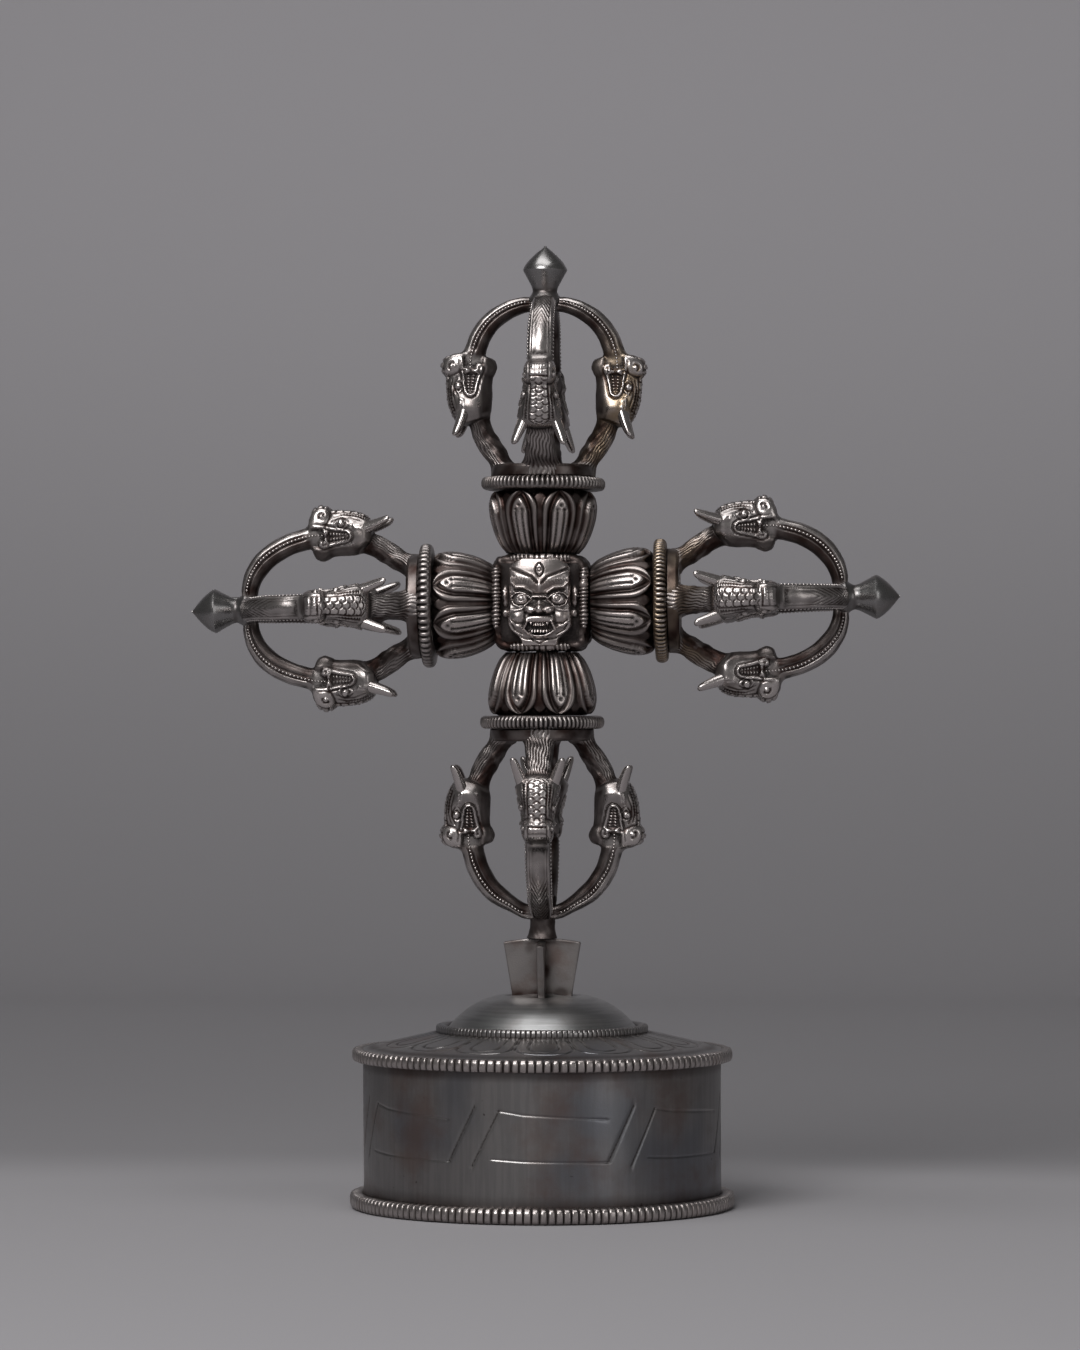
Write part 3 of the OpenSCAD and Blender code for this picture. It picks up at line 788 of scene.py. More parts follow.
# Each ring: its finish, its wire's radius, how far it stands inside and above its node, and its notches:
# how many, how wide and deep, and the angles of the section between which they are filed.
EDGE_RINGS = {
    "lid_ring": ("ring_iron", half_height("lid_ring") - 0.2, 0.1, 0, 146, 0.28, 0.85, -58, 118),
    "foot_ring": ("ring_iron", half_height("foot_ring") - 0.08, 0.18, -0.08, 156, 0.26, 0.90, -44, 118),
    "dome_ring": ("sheet_iron", 1.5, 0, 1.0, 128, 0.15, 0.28, -30, 70),
}
for node, (finish, wire, inset, lift, notches, *notch) in EDGE_RINGS.items():
    _, ring_top = corners(node)
    ring_r = ring_top[0] - wire - inset
    ring = filed_ring(f"{node}_filed", ring_r, wire, ring_top[2] - wire + lift, notches, RING_ROWS, *notch)
    dress(ring, "ring_iron", "stand", node, finish=finish)

# %% [markdown]
# ## The lid
# The lid is a shallow cone of sheet, straight from its ring to the dome, with fifteen lotus petals
# engraved in it, each a double outline with a round end. In the plane of one petal, a point's place is
# given across and outwards, and the outline is where an ellipse meets two straight sides: the same rule
# serves the petals of the arms.

# %% Lid with engraved petals
def inside_petal(across, along, half_width, shoulder, tip, roundness):
    """How deep a point lies inside a petal's outline: straight sides up to the shoulder, then an arch."""
    arch = np.maximum(0, along - shoulder) / (tip - shoulder)
    away = (np.abs(across / half_width) ** roundness + arch ** roundness) ** (1 / roundness)
    return (1 - away) * half_width


plate_low, plate_high = corners("lid_plate")
LID_SHEET = 1.2
LID_R = plate_high[0]
LID_CONE_R = DRUM_R - 2 * LID_SHEET
LID_HOLE_R = DOME_R - 7
LID_RIM_Z = 49.4
LID_SLOPE = 0.235
LID_SHOULDER_R = 53.5
LID_FLAT_R = 51.2
LID_INNER_R = 33
LID_PETALS = 15
PETAL_MIDDLE = 3.9
PETAL_ROUND = 2.4
# Each line of a petal: half its width in degrees, the radii of its shoulder and its tip, and its own width.
PETAL_LINES = [(11.5, 43.8, 50.2, 0.36), (6.1, 42.6, 47.4, 0.33)]
LINE_DEPTH = 0.50


def lid_top(radius):
    """Height of the lid's upper face at a radius."""
    return LID_RIM_Z + LID_SLOPE * (LID_R - radius)


lid, angle, share = ring_blank("lid_engraved", 912, 96, 3)
radius, height = along_section(share, [
    (0, LID_R, LID_RIM_Z - 1), (0.02, LID_R, LID_RIM_Z),
    (0.07, LID_SHOULDER_R, lid_top(LID_SHOULDER_R)), (0.10, LID_FLAT_R, lid_top(LID_FLAT_R)),
    (0.84, LID_INNER_R, lid_top(LID_INNER_R)), (0.86, LID_HOLE_R, plate_high[2]),
    (0.88, LID_HOLE_R, plate_high[2] - LID_SHEET),
    (0.93, LID_CONE_R, plate_low[2]), (0.98, LID_R, plate_low[2]), (1, LID_R, LID_RIM_Z - 1)])
on_top = (share > 0.01) & (share < 0.85)
put(lid, *polar(angle, radius), height)
pitch = 360 / LID_PETALS
petal_turn = (from_front(angle) - PETAL_MIDDLE + pitch / 2) % pitch - pitch / 2
across = np.radians(petal_turn) * radius
lines = 0
for half_turn, shoulder, petal_tip, line_w in PETAL_LINES:
    inside = inside_petal(across, radius, np.radians(half_turn) * radius, shoulder, petal_tip, PETAL_ROUND)
    lines = np.maximum(lines, hump(inside, line_w))
lines = lines * (0.75 + 0.25 * np.sin(3 * angle + radius))
lid_x, lid_y = polar(angle, radius)
chase(lid, on_top * (0.10 * uneven(lid_x, lid_y, 0, 16, 4) - LINE_DEPTH * lines))
keep(lid, "relief", 0.5 - 0.40 * lines * soft_step(radius, 47, 44))
# Painted shade in the creases beside the rim ring and beside the dome ring.
keep(lid, "grime_and_shade", 0.7 * hump(radius - LID_SHOULDER_R, 1.6) + 0.6 * hump(radius - LID_INNER_R - 0.5, 1.2))
dress(lid, "sheet_iron", "stand", "lid_plate", sharp=50)

# %% [markdown]
# ## The dome
# The dome is a bowl of sheet, brushed round and round. Where the blades were driven through it the
# sheet has sunk a little beside each blade. The two slots are cut with a Boolean modifier, because the
# foot lifts out of them.

# %% Dome with its sunk slots
dome_low, dome_high = corners("dome")
DOME_H = dome_high[2] - dome_low[2]
DOME_POWER = 3.5
BLADE_T = corners("blade_plate_side")[1][1] * 2
SLOT_HALF = 9.5
SLOT_PLAY = 0.15
SLOT_DEEP = 22
SUNK_BY = 1.3

dome, angle, share, spread = tube_blank("dome_brushed", 240, (9, 7))
radius = np.maximum(DOME_R * np.cos(share * np.pi / 2), 0.4) * spread
height = dome_low[2] + DOME_H * (1 - (radius / DOME_R) ** DOME_POWER)
height = np.where(spread < 0.5, np.where(share < 0.5, dome_low[2], dome_high[2]), height)
dome_x, dome_y = polar(angle, radius)
sunk = 0
for beside, outwards in ((dome_y, dome_x), (dome_x, dome_y)):
    reach = soft_step(np.abs(outwards), SLOT_HALF + 4, SLOT_HALF - 0.5)
    sunk = np.maximum(sunk, reach * hump(beside, 3.4) * soft_step(np.abs(outwards), 3, 8))
height = height - SUNK_BY * sunk
height = height + np.where(share > 0.02, 0.10 * uneven(dome_x, dome_y, 0, 15, 5) - 0.12, 0)
put(dome, dome_x, dome_y, height)

for turn in (0, 90):
    bpy.ops.object.select_all(action="DESELECT")
    bpy.ops.mesh.primitive_cube_add(size=1, location=(0, 0, dome_high[2] * MM))
    slot_block = bpy.context.object
    slot_size = (2 * SLOT_HALF + 2 * SLOT_PLAY, BLADE_T + 2 * SLOT_PLAY, SLOT_DEEP)
    slot_block.scale = [size * MM for size in slot_size]
    slot_block.rotation_euler.z = math.radians(turn)
    bpy.context.view_layer.objects.active = dome
    cutter = dome.modifiers.new("slot", "BOOLEAN")
    cutter.operation = "DIFFERENCE"
    cutter.object = slot_block
    bpy.ops.object.modifier_apply(modifier=cutter.name)
    bpy.data.objects.remove(slot_block)
dome_x, dome_y, dome_z = points(dome).T / MM
at_slots = 0
for beside, outwards in ((dome_y, dome_x), (dome_x, dome_y)):
    reach = soft_step(np.abs(outwards), SLOT_HALF + 1.4, SLOT_HALF + 0.4)
    at_slots = np.maximum(at_slots, reach * hump(beside, 2.0))
keep(dome, "relief", 0.5)
# Painted shade beside the slots that the blades pass through, and in the crease at the dome's foot.
keep(dome, "grime_and_shade", 0.9 * at_slots + 0.8 * hump(dome_z - dome_low[2], 0.9))
dress(dome, "sheet_iron", "stand", "dome", finish="dome_iron", sharp=40)

# %% [markdown]
# ## The bladed foot
# Two plates cross each other and stand in the dome's slots. Each is a fan that widens upwards under a
# gently arched edge. A grid takes that outline, Solidify gives it the plate's thickness, and Bevel
# takes the sharpness off its edges.

# %% The two blades
blade_low, blade_high = corners("blade_plate_side")
BLADE_TOP = corners("stem")[0][2] - 0.05
BLADE_HALF_TOP = blade_high[0]
BLADE_CROWN = 1.2
BLADE_PLAY = 0.15
BLADE_BEVEL = 0.4


def blade(name, lower_by, turn, seed):
    """A plate with an arched top edge, turned about the stand's axis."""
    plate, across, up = grid_blank(name, 44, 44)
    share = (up + 1) / 2
    dome_top = dome_high[2]
    edge_z = BLADE_TOP - lower_by - BLADE_CROWN
    height = blade_low[2] + share * (edge_z - blade_low[2])
    widening = (BLADE_HALF_TOP - SLOT_HALF) / (edge_z - dome_top)
    half = SLOT_HALF + widening * np.maximum(0, height - dome_top)
    height = height + share ** 3 * BLADE_CROWN * (1 - across ** 2)
    x = half * across
    put(plate, x, 0.12 * uneven(x, 0, height, 11, seed), height)
    bpy.context.view_layer.objects.active = plate
    thicken = plate.modifiers.new("thickness", "SOLIDIFY")
    thicken.thickness = (BLADE_T - BLADE_PLAY) * MM
    thicken.offset = 0
    bpy.ops.object.modifier_apply(modifier=thicken.name)
    soften = plate.modifiers.new("edges", "BEVEL")
    soften.width = BLADE_BEVEL * MM
    soften.segments = 2
    bpy.ops.object.modifier_apply(modifier=soften.name)
    x, _, z = points(plate).T / MM
    # Random stains, with painted shade by the crossing plate and where the blade meets the dome; darker along
    # the top edge.
    stains_and_shade = soft_step(uneven(x, 0, z, 9, seed), 0.3, 0.9) + hump(z - dome_top, 1.6) + hump(x, 2.6)
    keep(plate, "relief", 0.5)
    keep(plate, "grime_and_shade", 0.7 * stains_and_shade + 0.5 * hump(edge_z - z, 0.5))
    plate.data.transform(Matrix.Rotation(math.radians(turn), 4, "Z"))
    turn_outwards(plate)
    return plate


dress(blade("blade_side", 0, 0, 6), "plate_iron", "vajra", "blade_plate_side", sharp=40)
dress(blade("blade_front", 0.8, 90, 7), "plate_iron", "vajra", "blade_plate_front", sharp=40)

# %% [markdown]
# A short stem stands on the blades and holds the bottom arm. On the real piece it is a bar that is thick
# with braze, so a tube takes a waisted outline from a curve through a few radii, and two sizes of
# unevenness make it lumpy.

# %% The stem, lumpy with braze
STEM_SHARES = [0, 0.12, 0.35, 0.6, 0.85, 1]
STEM_RADII = [4.6, 4.2, 4.0, 4.1, 4.4, 4.6]
stem_low, stem_high = corners("stem")
stem, angle, share, spread = tube_blank("stem_brazed", 72, (6, 6))
height = stem_low[2] + share * (stem_high[2] - stem_low[2])
radius = through(share, STEM_SHARES, STEM_RADII)
stem_x, stem_y = polar(angle, radius)
lumps = 0.20 * uneven(stem_x, stem_y, height, 5.2, 8) + 0.07 * uneven(stem_x, stem_y, height, 1.9, 9)
radius = (radius + lumps) * spread
put(stem, *polar(angle, radius), height)
keep(stem, "relief", 0.5)
keep(stem, "grime_and_shade", 0.85)
dress(stem, "plate_iron", "vajra", "stem", sharp=50)

# %% [markdown]
# ## The hub
# The hub is a block with soft corners. On its front and back a frame of ridged strands runs round the
# mask, and two ears with drops stand beside it. A subdivided cube becomes such a block when each point is
# drawn in by its distance in a high power: the faces stay flat and the corners go round. The ears are
# raised on it, and the strands are tubes that are joined to it.

# %% One strand of the frame
STRAND_R = 1.3
STRAND_PITCH = 1.2
PLAIN_NOTCHES = (-1.65, -0.1, 1.9)


def strand(name, start, end, bow, band):
    """A ridged strand from start to end, in millimetres, bowed outwards, with a plain band in its middle."""
    tube, angle, share, spread = tube_blank(name, 16, (11, 9))
    axis = Vector(end) - Vector(start)
    side = axis.normalized().cross(Vector((0, 1, 0)))
    middle = np.array(start)[:, None] + np.array(axis)[:, None] * share
    middle = middle + np.array(bow)[:, None] * (1 - (2 * share - 1) ** 2)
    along = (share - 0.5) * axis.length
    ridges = np.abs(np.sin(np.pi * along / STRAND_PITCH + 0.30 * np.cos(angle) + 0.5 * np.sin(0.6 * along)))
    plain = soft_step(np.abs(along - 0.4), band + 0.3, band - 0.3)
    notched = sum(hump(along - notch, 0.22) for notch in PLAIN_NOTCHES)
    ridges = ridges * (1 - plain) + plain * (1 - 0.9 * notched)
    ends = np.sqrt(np.clip(1 - (2 * share - 1) ** 14, 0.05, 1))
    swell = 1 + 0.10 * np.sin(0.9 * along + axis.z)
    radius = STRAND_R * (0.62 + 0.42 * ridges) * swell * ends * spread
    out = middle + np.array(side)[:, None] * radius * np.cos(angle)
    out[1] = out[1] + radius * np.sin(angle)
    put(tube, *out)
    turn_outwards(tube)
    keep(tube, "relief", 0.28 + 0.45 * ridges)
    keep(tube, "grime_and_shade", 0.25)
    return tube


print("ridges of a strand, mm apart:", STRAND_PITCH)

# %% Block with its ears
HUB_POWER = 6.5
HUB_CUTS = 60
EAR = (11.0, 1.8)
EAR_HALF = (1.2, 3.3)
EAR_DROP = (11.0, -3.4)
EAR_DROP_R = 1.25
CORNER_FROM = (15.0, 17.5)


def join(pieces):
    """Join several pieces into the first one."""
    bpy.ops.object.select_all(action="DESELECT")
    for piece in pieces:
        piece.select_set(True)
    bpy.context.view_layer.objects.active = pieces[0]
    bpy.ops.object.join()
    return pieces[0]


bpy.ops.object.select_all(action="DESELECT")
bpy.ops.mesh.primitive_cube_add(size=2)
hub = named("hub_block")
pick(hub, "FACE", np.ones(len(hub.data.polygons), dtype=bool))
bpy.ops.mesh.subdivide(number_cuts=HUB_CUTS)
bpy.ops.object.mode_set(mode="OBJECT")
x, y, z = points(hub).T
draw_in = (np.abs(x) ** HUB_POWER + np.abs(y) ** HUB_POWER + np.abs(z) ** HUB_POWER) ** (-1 / HUB_POWER)
x, y, z = x * draw_in * HUB_HALF, y * draw_in * HUB_FRONT, z * draw_in * HUB_HALF
put(hub, x, y, z + HUB_Z)
side_x = np.abs(x)
faced = soft_step(np.abs(y), HUB_FRONT - 2.5, HUB_FRONT - 1.0)
shell = np.hypot((side_x - EAR[0]) / EAR_HALF[0], (z - EAR[1]) / EAR_HALF[1])
drop = np.hypot(side_x - EAR_DROP[0], z - EAR_DROP[1])
ears = 2.0 * cap(shell) - 0.7 * hump(shell - 0.55, 0.18)
ears = ears + 1.3 * cap(drop / EAR_DROP_R) - 0.6 * hump(drop, 0.35)
corner = soft_step(np.hypot(side_x, z), *CORNER_FROM)
lumps = 0.30 * uneven(x, y, z, 5, 10) + corner * 0.32 * uneven(x, y, z, 2.6, 14)
chase(hub, faced * (np.maximum(ears, 0) - 1.0) + lumps - 0.45)
on_ears = faced * soft_step(ears, 0.3, 1.0)
framed = faced * soft_step(np.maximum(side_x, np.abs(z)), 13.2, 12.2)
keep(hub, "grime_and_shade", 1 - on_ears)
# The recess inside the frame is made darker: soot with painted shade.
keep(hub, "relief", 0.5 + 0.15 * on_ears - 0.42 * framed * (1 - on_ears))
print("block of", len(hub.data.polygons), "faces")

# %% Strands and knobs round the mask
UPRIGHT_X = 13.7
UPRIGHT_Z = (-8.2, 11.0)
LEVEL_X = 9.4
LEVEL_Z = 13.75
LEVEL_BAND = 3.4
STRAND_BOW = 0.45
KNOB_X = 13.6
KNOBS = [(8.1, 1.15), (5.6, 1.45)]

strands = []
for face in (-1, 1):
    depth = face * (HUB_FRONT - 0.35)
    bow = (0, face * STRAND_BOW, 0)
    for side in (-1, 1):
        start, end = [(side * UPRIGHT_X, depth, HUB_Z + up) for up in UPRIGHT_Z]
        strands.append(strand("strand", start, end, bow, 0))
        level = HUB_Z + LEVEL_Z * side
        strands.append(strand("strand", (-LEVEL_X, depth, level), (LEVEL_X, depth, level), bow, LEVEL_BAND))
    for knob_z, knob_r in KNOBS:
        knob_place = Vector((-KNOB_X * face, depth + 0.5 * face, HUB_Z + knob_z))
        bpy.ops.mesh.primitive_ico_sphere_add(subdivisions=3, radius=knob_r * MM, location=knob_place * MM)
        bpy.ops.object.transform_apply(location=True, rotation=False, scale=False)
        keep(bpy.context.object, "relief", 0.66)
        strands.append(bpy.context.object)
dress(join([hub] + strands), "carved_iron", "vajra", "hub", sharp=60)

# %% [markdown]
# ## The mask
# The face is fierce: a third eye on the forehead, knotted brows, bulging eyes, a broad nose and a
# mouth of bared teeth. It is a relief, so a fine grid is raised by the sum of its features. Most are a
# soft mound, a ball or a stroke along a path, and are listed as such. The left half mirrors the right
# one, as on most such faces. The sheet's rim is then extruded back into the hub and closed.

# %% Mounds, balls and strokes of the face
# A mound or a ball: its place across and up, half its width and height, and how high it rises.
# The mounds in turn: forehead, knot of the brows, eye sockets, nostrils, cheeks and chin.
FACE_MOUNDS = [
    (0, 10.2, 5.0, 2.6, 0.35), (0, 5.0, 0.9, 1.9, 0.7), (6.2, 1.0, 3.2, 2.1, -1.15),
    (1.65, -3.3, 0.50, 0.42, -0.9), (7.1, -4.9, 2.5, 2.4, 1.0), (0, -12.3, 4.2, 1.1, 0.45),
]
EYEBALL = (5.95, 0.9, 2.35, 1.7, 2.0)
NOSE_BALLS = [(0, -2.2, 1.7, 1.5, 0.9), (3.0, -2.45, 1.75, 1.45, 1.7)]
# A stroke: the path that it follows on the right half of the face, its width, and its height or depth.
BROW_STROKES = [
    ([(9.0, 7.5), (8.9, 6.2), (7.4, 4.8), (4.6, 4.6), (2.3, 3.1)], 0.45, 0.90),
    ([(8.75, 10.5), (5.0, 9.0), (2.3, 7.9), (0.8, 6.0)], 0.36, -0.85),
    ([(7.7, 3.8), (5.7, 3.7), (3.9, 3.4), (2.6, 2.4)], 0.36, -0.60),
]
EYELID_STROKES = [
    ([(8.9, 1.6), (7.6, 2.7), (6.1, 3.0), (4.4, 2.5), (2.6, 1.1)], 0.38, 0.95),
    ([(8.9, 1.3), (8.0, -0.7), (6.3, -1.4), (4.5, -1.0), (2.4, 0.8)], 0.36, 0.80),
]
NOSE_STROKES = [
    ([(0, -4.0), (2.2, -4.0), (4.5, -3.3)], 0.30, -0.70),
    ([(0.9, 0.5), (2.2, -0.6), (4.3, -1.2)], 0.28, -0.35),
    ([(0, 1.65), (2.2, 1.65)], 0.42, 0.95),
    ([(0, 0.90), (2.1, 0.90)], 0.25, -0.60),
    ([(0, 2.55), (1.6, 2.45)], 0.30, -0.55),
]
CHEEK_STROKES = [
    ([(9.4, -2.4), (7.5, -2.6), (5.6, -2.2), (4.2, -1.2)], 0.42, 0.70),
    ([(8.7, -5.5), (7.2, -6.5), (5.1, -6.6)], 0.28, -0.55),
    ([(8.6, -7.0), (7.6, -8.6), (5.3, -9.9)], 0.28, -0.50),
    ([(8.8, -6.2), (7.5, -7.4), (5.4, -7.9)], 0.45, 0.35),
    ([(4.1, -3.0), (4.7, -4.6), (4.8, -6.0), (5.5, -7.6)], 0.34, -0.50),
]
CHIN_STROKES = [
    ([(9.3, -8.9), (6.6, -10.6), (4.2, -11.4), (0, -11.6)], 0.30, -0.50),
    ([(2.6, -11.4), (0, -13.0)], 0.24, -0.50),
]
LOWER_LIP = ([(3.9, -6.3), (4.85, -8.4), (3.6, -9.6), (1.9, -10.4), (0, -10.6)], 0.46, 1.0)


def mound(side, z, across, up, wide, tall, rise):
    """A soft mound on both halves of the face, or a hollow where its rise is negative."""
    return rise * hump(np.hypot((side - across) / wide, (z - up) / tall), 1)


def ball(side, z, across, up, wide, tall, rise):
    """A ball with a clear edge, set into both halves of the face."""
    return rise * cap(np.hypot((side - across) / wide, (z - up) / tall))


def stroke(side, z, path, width, rise):
    """A raised or chased line along a path, on both halves of the face."""
    return rise * hump(to_path(side, z, path), width)


FACE_STROKES = BROW_STROKES + EYELID_STROKES + NOSE_STROKES + CHEEK_STROKES + CHIN_STROKES
print("the face has", len(FACE_MOUNDS), "mounds and", len(FACE_STROKES), "strokes")

# %% Features that need a rule of their own
THIRD_EYE_Z = 10.1


def third_eye(x, z):
    """An upright almond with an iris, on the forehead."""
    almond = np.abs(x) - 1.3 * cap((z - THIRD_EYE_Z) / 2.3) ** 2
    iris = np.hypot(x, z - THIRD_EYE_Z)
    rim = -0.50 * hump(almond, 0.24) * (np.abs(z - THIRD_EYE_Z) < 2.4)
    return rim - 0.35 * hump(iris - 0.55, 0.17) + 0.35 * soft_step(-almond, 0.1, 0.5)


def brow_pads(side, z):
    """Two thick pads over the eyes, hatched on their lower half."""
    pad_mid = 7.15 + 0.22 * (side - 5.0)
    pads = np.exp(-(((side - 5.1) / 4.1) ** 4) - ((z - pad_mid) / 1.9) ** 4)
    hatched = soft_step(pad_mid + 0.6 - z, 0, 1.0) * soft_step(8.4 - side, 0, 1)
    return 0.75 * pads - 0.13 * pads * hatched * np.cos(2 * np.pi * (side - 0.12 * z) / 0.52)


def nose_bridge(x, z):
    """The bridge rises and widens downwards, to the ball of the nose."""
    rising = 0.35 + 1.45 * soft_step(-z, -1.2, 2.3)
    widening = np.interp(z, [-3.0, 1.0], [2.0, 0.8])
    return rising * hump(x, widening) * between(z, -3.8, -2.9, 0.3, 1.3)


def bared_teeth(side, z):
    """How far the teeth stand out in the open mouth: a row above, a row below and two fangs."""
    fang = 0.62 * (1 - (-6.3 - z) / 1.9) - np.abs(side - 2.55)
    high = soft_step(z, -7.65, -7.4) * (side < 1.87)
    high = high * (1 - 0.7 * hump((side + 0.375) % 0.75 - 0.375, 0.11))
    low = soft_step(-8.3 - z, 0, 0.25) * soft_step(z, -9.7, -9.4) * (side < 3.2)
    low = low * (1 - 0.7 * hump((side + 0.45) % 0.9 - 0.45, 0.12))
    high_bite = high * np.interp(-z, [6.3, 7.6], [1.1, 1.75])
    low_bite = low * np.interp(-z, [8.3, 9.5], [1.0, 1.65])
    return np.maximum(np.maximum(high_bite, 1.8 * soft_step(fang, -0.05, 0.3)), low_bite)


print("third eye, brow pads, bridge and teeth have rules")

# %% The whole face
MOUTH_Z = [-10.1, -9.4, -8.4, -7.3, -6.3]
MOUTH_HALF = [1.8, 3.3, 4.4, 3.9, 3.4]
MOUTH_DEEP = 1.1
PUPIL = (5.7, 1.1)


def face_relief(x, z):
    """Height of the face above the mask's edge, in millimetres, and where its teeth are."""
    side = np.abs(x)
    crown = 3.0 * np.sqrt(np.clip(1 - (x / 11.8) ** 2 - (z / 17) ** 2, 0.02, 1))
    skin = crown + third_eye(x, z) + brow_pads(side, z) + nose_bridge(x, z)
    for shape in FACE_MOUNDS:
        skin = skin + mound(side, z, *shape)
    for shape in [EYEBALL] + NOSE_BALLS:
        skin = skin + ball(side, z, *shape)
    for path, width, rise in FACE_STROKES:
        skin = skin + stroke(side, z, path, width, rise)
    pupil = np.hypot(side - PUPIL[0], z - PUPIL[1])
    upper_lip = ball(side, z, 0, -5.15 - 0.02 * side ** 2, 4.9, 1.30, 1.15)
    skin = skin + upper_lip - 0.30 * hump(pupil - 0.85, 0.16)

    opening = np.interp(z, MOUTH_Z, MOUTH_HALF) - side
    opening = np.minimum(opening, np.minimum(-6.3 - z, z + 10.2))
    open_share = soft_step(opening, -0.12, 0.22)
    bite = bared_teeth(side, z)
    inside = crown + MOUTH_DEEP * (bite - 1)
    height = skin * (1 - open_share) + inside * open_share + stroke(side, z, *LOWER_LIP)
    return height, open_share * soft_step(bite, 0.8, 1.2)


print("face height at its centre, mm:", face_relief(np.zeros(1), np.zeros(1))[0])

# %% Mask sheet, front and back
mask_low, mask_high = corners("mask_front")
MASK_HALF_W = mask_high[0]
MASK_HALF_H = (mask_high[2] - mask_low[2]) / 2
MASK_EDGE = 0.6
MASK_ROUND = 0.7
MASK_PASSES, MASK_REACH = 60, 0.48
TEETH_PAINTED_LIGHT = 0.85
MASK_SINK = mask_high[1] + HUB_FRONT + MASK_EDGE
FACE_Z = [-14, -13.2, -11.5, -10, -8.5, -6.5, -4, -1, 1.5, 4, 7, 10, 12, 13.2, 14]
FACE_HALF = [4.6, 5.6, 6.2, 7.7, 9.3, 10.2, 10.1, 9.6, 9.4, 9.5, 9.7, 9.5, 8.4, 6.6, 4.2]

mask, across, up = grid_blank("mask_front_chased", 168, 230)
mask_z = up * MASK_HALF_H
half = np.minimum(through(mask_z, FACE_Z, FACE_HALF), MASK_HALF_W)
mask_x = across * half
from_edge = np.minimum((1 - np.abs(across)) * half, MASK_HALF_H - np.abs(mask_z))
face_height, teeth = face_relief(mask_x, mask_z)
raised = MASK_EDGE + np.sqrt(soft_step(from_edge, 0, MASK_ROUND)) * face_height
put(mask, mask_x, -HUB_FRONT - raised, mask_z + HUB_Z)
uses = np.empty(len(mask.data.loops), dtype=np.int32)
mask.data.loops.foreach_get("edge_index", uses)
pick(mask, "EDGE", np.bincount(uses, minlength=len(mask.data.edges)) == 1)
bpy.ops.mesh.extrude_edges_move(TRANSFORM_OT_translate={"value": (0, MASK_SINK * MM, 0)})
bpy.ops.mesh.edge_face_add()
bpy.ops.object.mode_set(mode="OBJECT")
turn_outwards(mask)
mark_relief(mask, MASK_PASSES, MASK_REACH)
relief = kept(mask, "relief")
# Painted light: the teeth, which the upper lip shades, are coloured as bright as worn ridges.
relief[:len(teeth)] = np.maximum(relief[:len(teeth)], TEETH_PAINTED_LIGHT * teeth)
keep(mask, "relief", relief)
surface_piece(mask, "carved_iron", sharp=75)
mask_back = copy_piece(mask, "mask_back_chased", Matrix.Rotation(math.pi, 4, "Z"))
enter_frame(mask, "carved_iron", "vajra", "mask_front")
enter_frame(mask_back, "carved_iron", "vajra", "mask_back")

# %% [markdown]
# ## The arms
# All four arms are alike, so each of their pieces is made once, standing on the hub's centre along +Z,
# and copied to the arms with its own mesh. By hand no two come out the same, so every copy is bent by a
# tenth of a millimetre or so in its own way. In the photograph three arms also lean a little, and the
# left one sits deeper on the hub, so the copies do too.

# %% Copies round the hub
ARM_TURNS = {"top": 0, "right": 90, "bottom": 180, "left": 270}
ARM_LEANS = {"top": 0.5, "right": -1.0, "bottom": 0, "left": -1.35}
ARM_SINKS = {"top": 0, "right": 0, "bottom": 0, "left": 1.5}
BEND_SIZE = 15
ARM_SEED = 20


def on_arm(arm, quarter=0):
    """The place of an arm, and on it of one of the four prongs."""
    turn = Matrix.Rotation(math.radians(ARM_TURNS[arm] + ARM_LEANS[arm]), 4, "Y")
    sink = Matrix.Translation((0, 0, -ARM_SINKS[arm] * MM))
    quarter_turn = Matrix.Rotation(math.radians(90 * quarter), 4, "Z")
    return Matrix.Translation((0, 0, HUB_Z * MM)) @ turn @ sink @ quarter_turn


def bend_by_hand(piece, amount, seed):
    """Move a piece's points softly by up to about the amount, in a way that the seed gives."""
    x, y, z = points(piece).T / MM
    bends = [amount * uneven(x, y, z, BEND_SIZE, seed + 0.7 * axis) for axis in range(3)]
    put(piece, x + bends[0], y + bends[1], z + bends[2])


def copy_to_arms(piece, slot, arms, amount):
    """Copy a piece of an arm to the named arms, and take away the one it was copied from."""
    for number, arm in enumerate(arms):
        twin = copy_piece(piece, f"{piece.name}_{arm}_made", on_arm(arm))
        bend_by_hand(twin, amount, ARM_SEED + number)
        enter_frame(twin, slot, "vajra", f"{piece.name}_{arm}")
    bpy.data.objects.remove(piece)


print("arms and their turns about the hub:", ARM_TURNS)

# %% [markdown]
# A lotus is eight petals round a cup. Each petal has a rolled lip, a deep channel and a raised tongue
# with three punched dots and fine lines, and pointed petals of a second row show between the tips. The
# cup's outline comes first, then the petals are chased into it by the rule that the lid uses.

# %% Lotus cup
LOTUS_LEN = LOTUS_END_D - LOTUS_D
LOTUS_PETALS = 8
CUP_SHARES = [0, 0.15, 0.39, 0.62, 0.78, 0.9, 1]
CUP_RADII = [11.5, 13.7, 15.8, 16.9, 17.15, 16.9, 16.0]
# Each outline: its share of the petal's width, how far along its shoulder and its tip are, and its roundness.
LIP_OUTLINE = (0.90, 12.8, 19.4, 2.1)
TONGUE_OUTLINE = (0.44, 11.8, 17.6, 1.55)
SECOND_OUTLINE = (0.46, 15.2, 19.9, 1.6)
LIP_GAP = 0.75
CHANNEL = -1.30
# Each punched dot: its place across and along the tongue, and 1 where a fine line runs down from it.
DOTS = [(-1.15, 13.2, 1), (0, 14.6, 0), (1.15, 13.2, 1)]
DOT_DEPTH = 0.45
LOTUS_BEND = 0.10


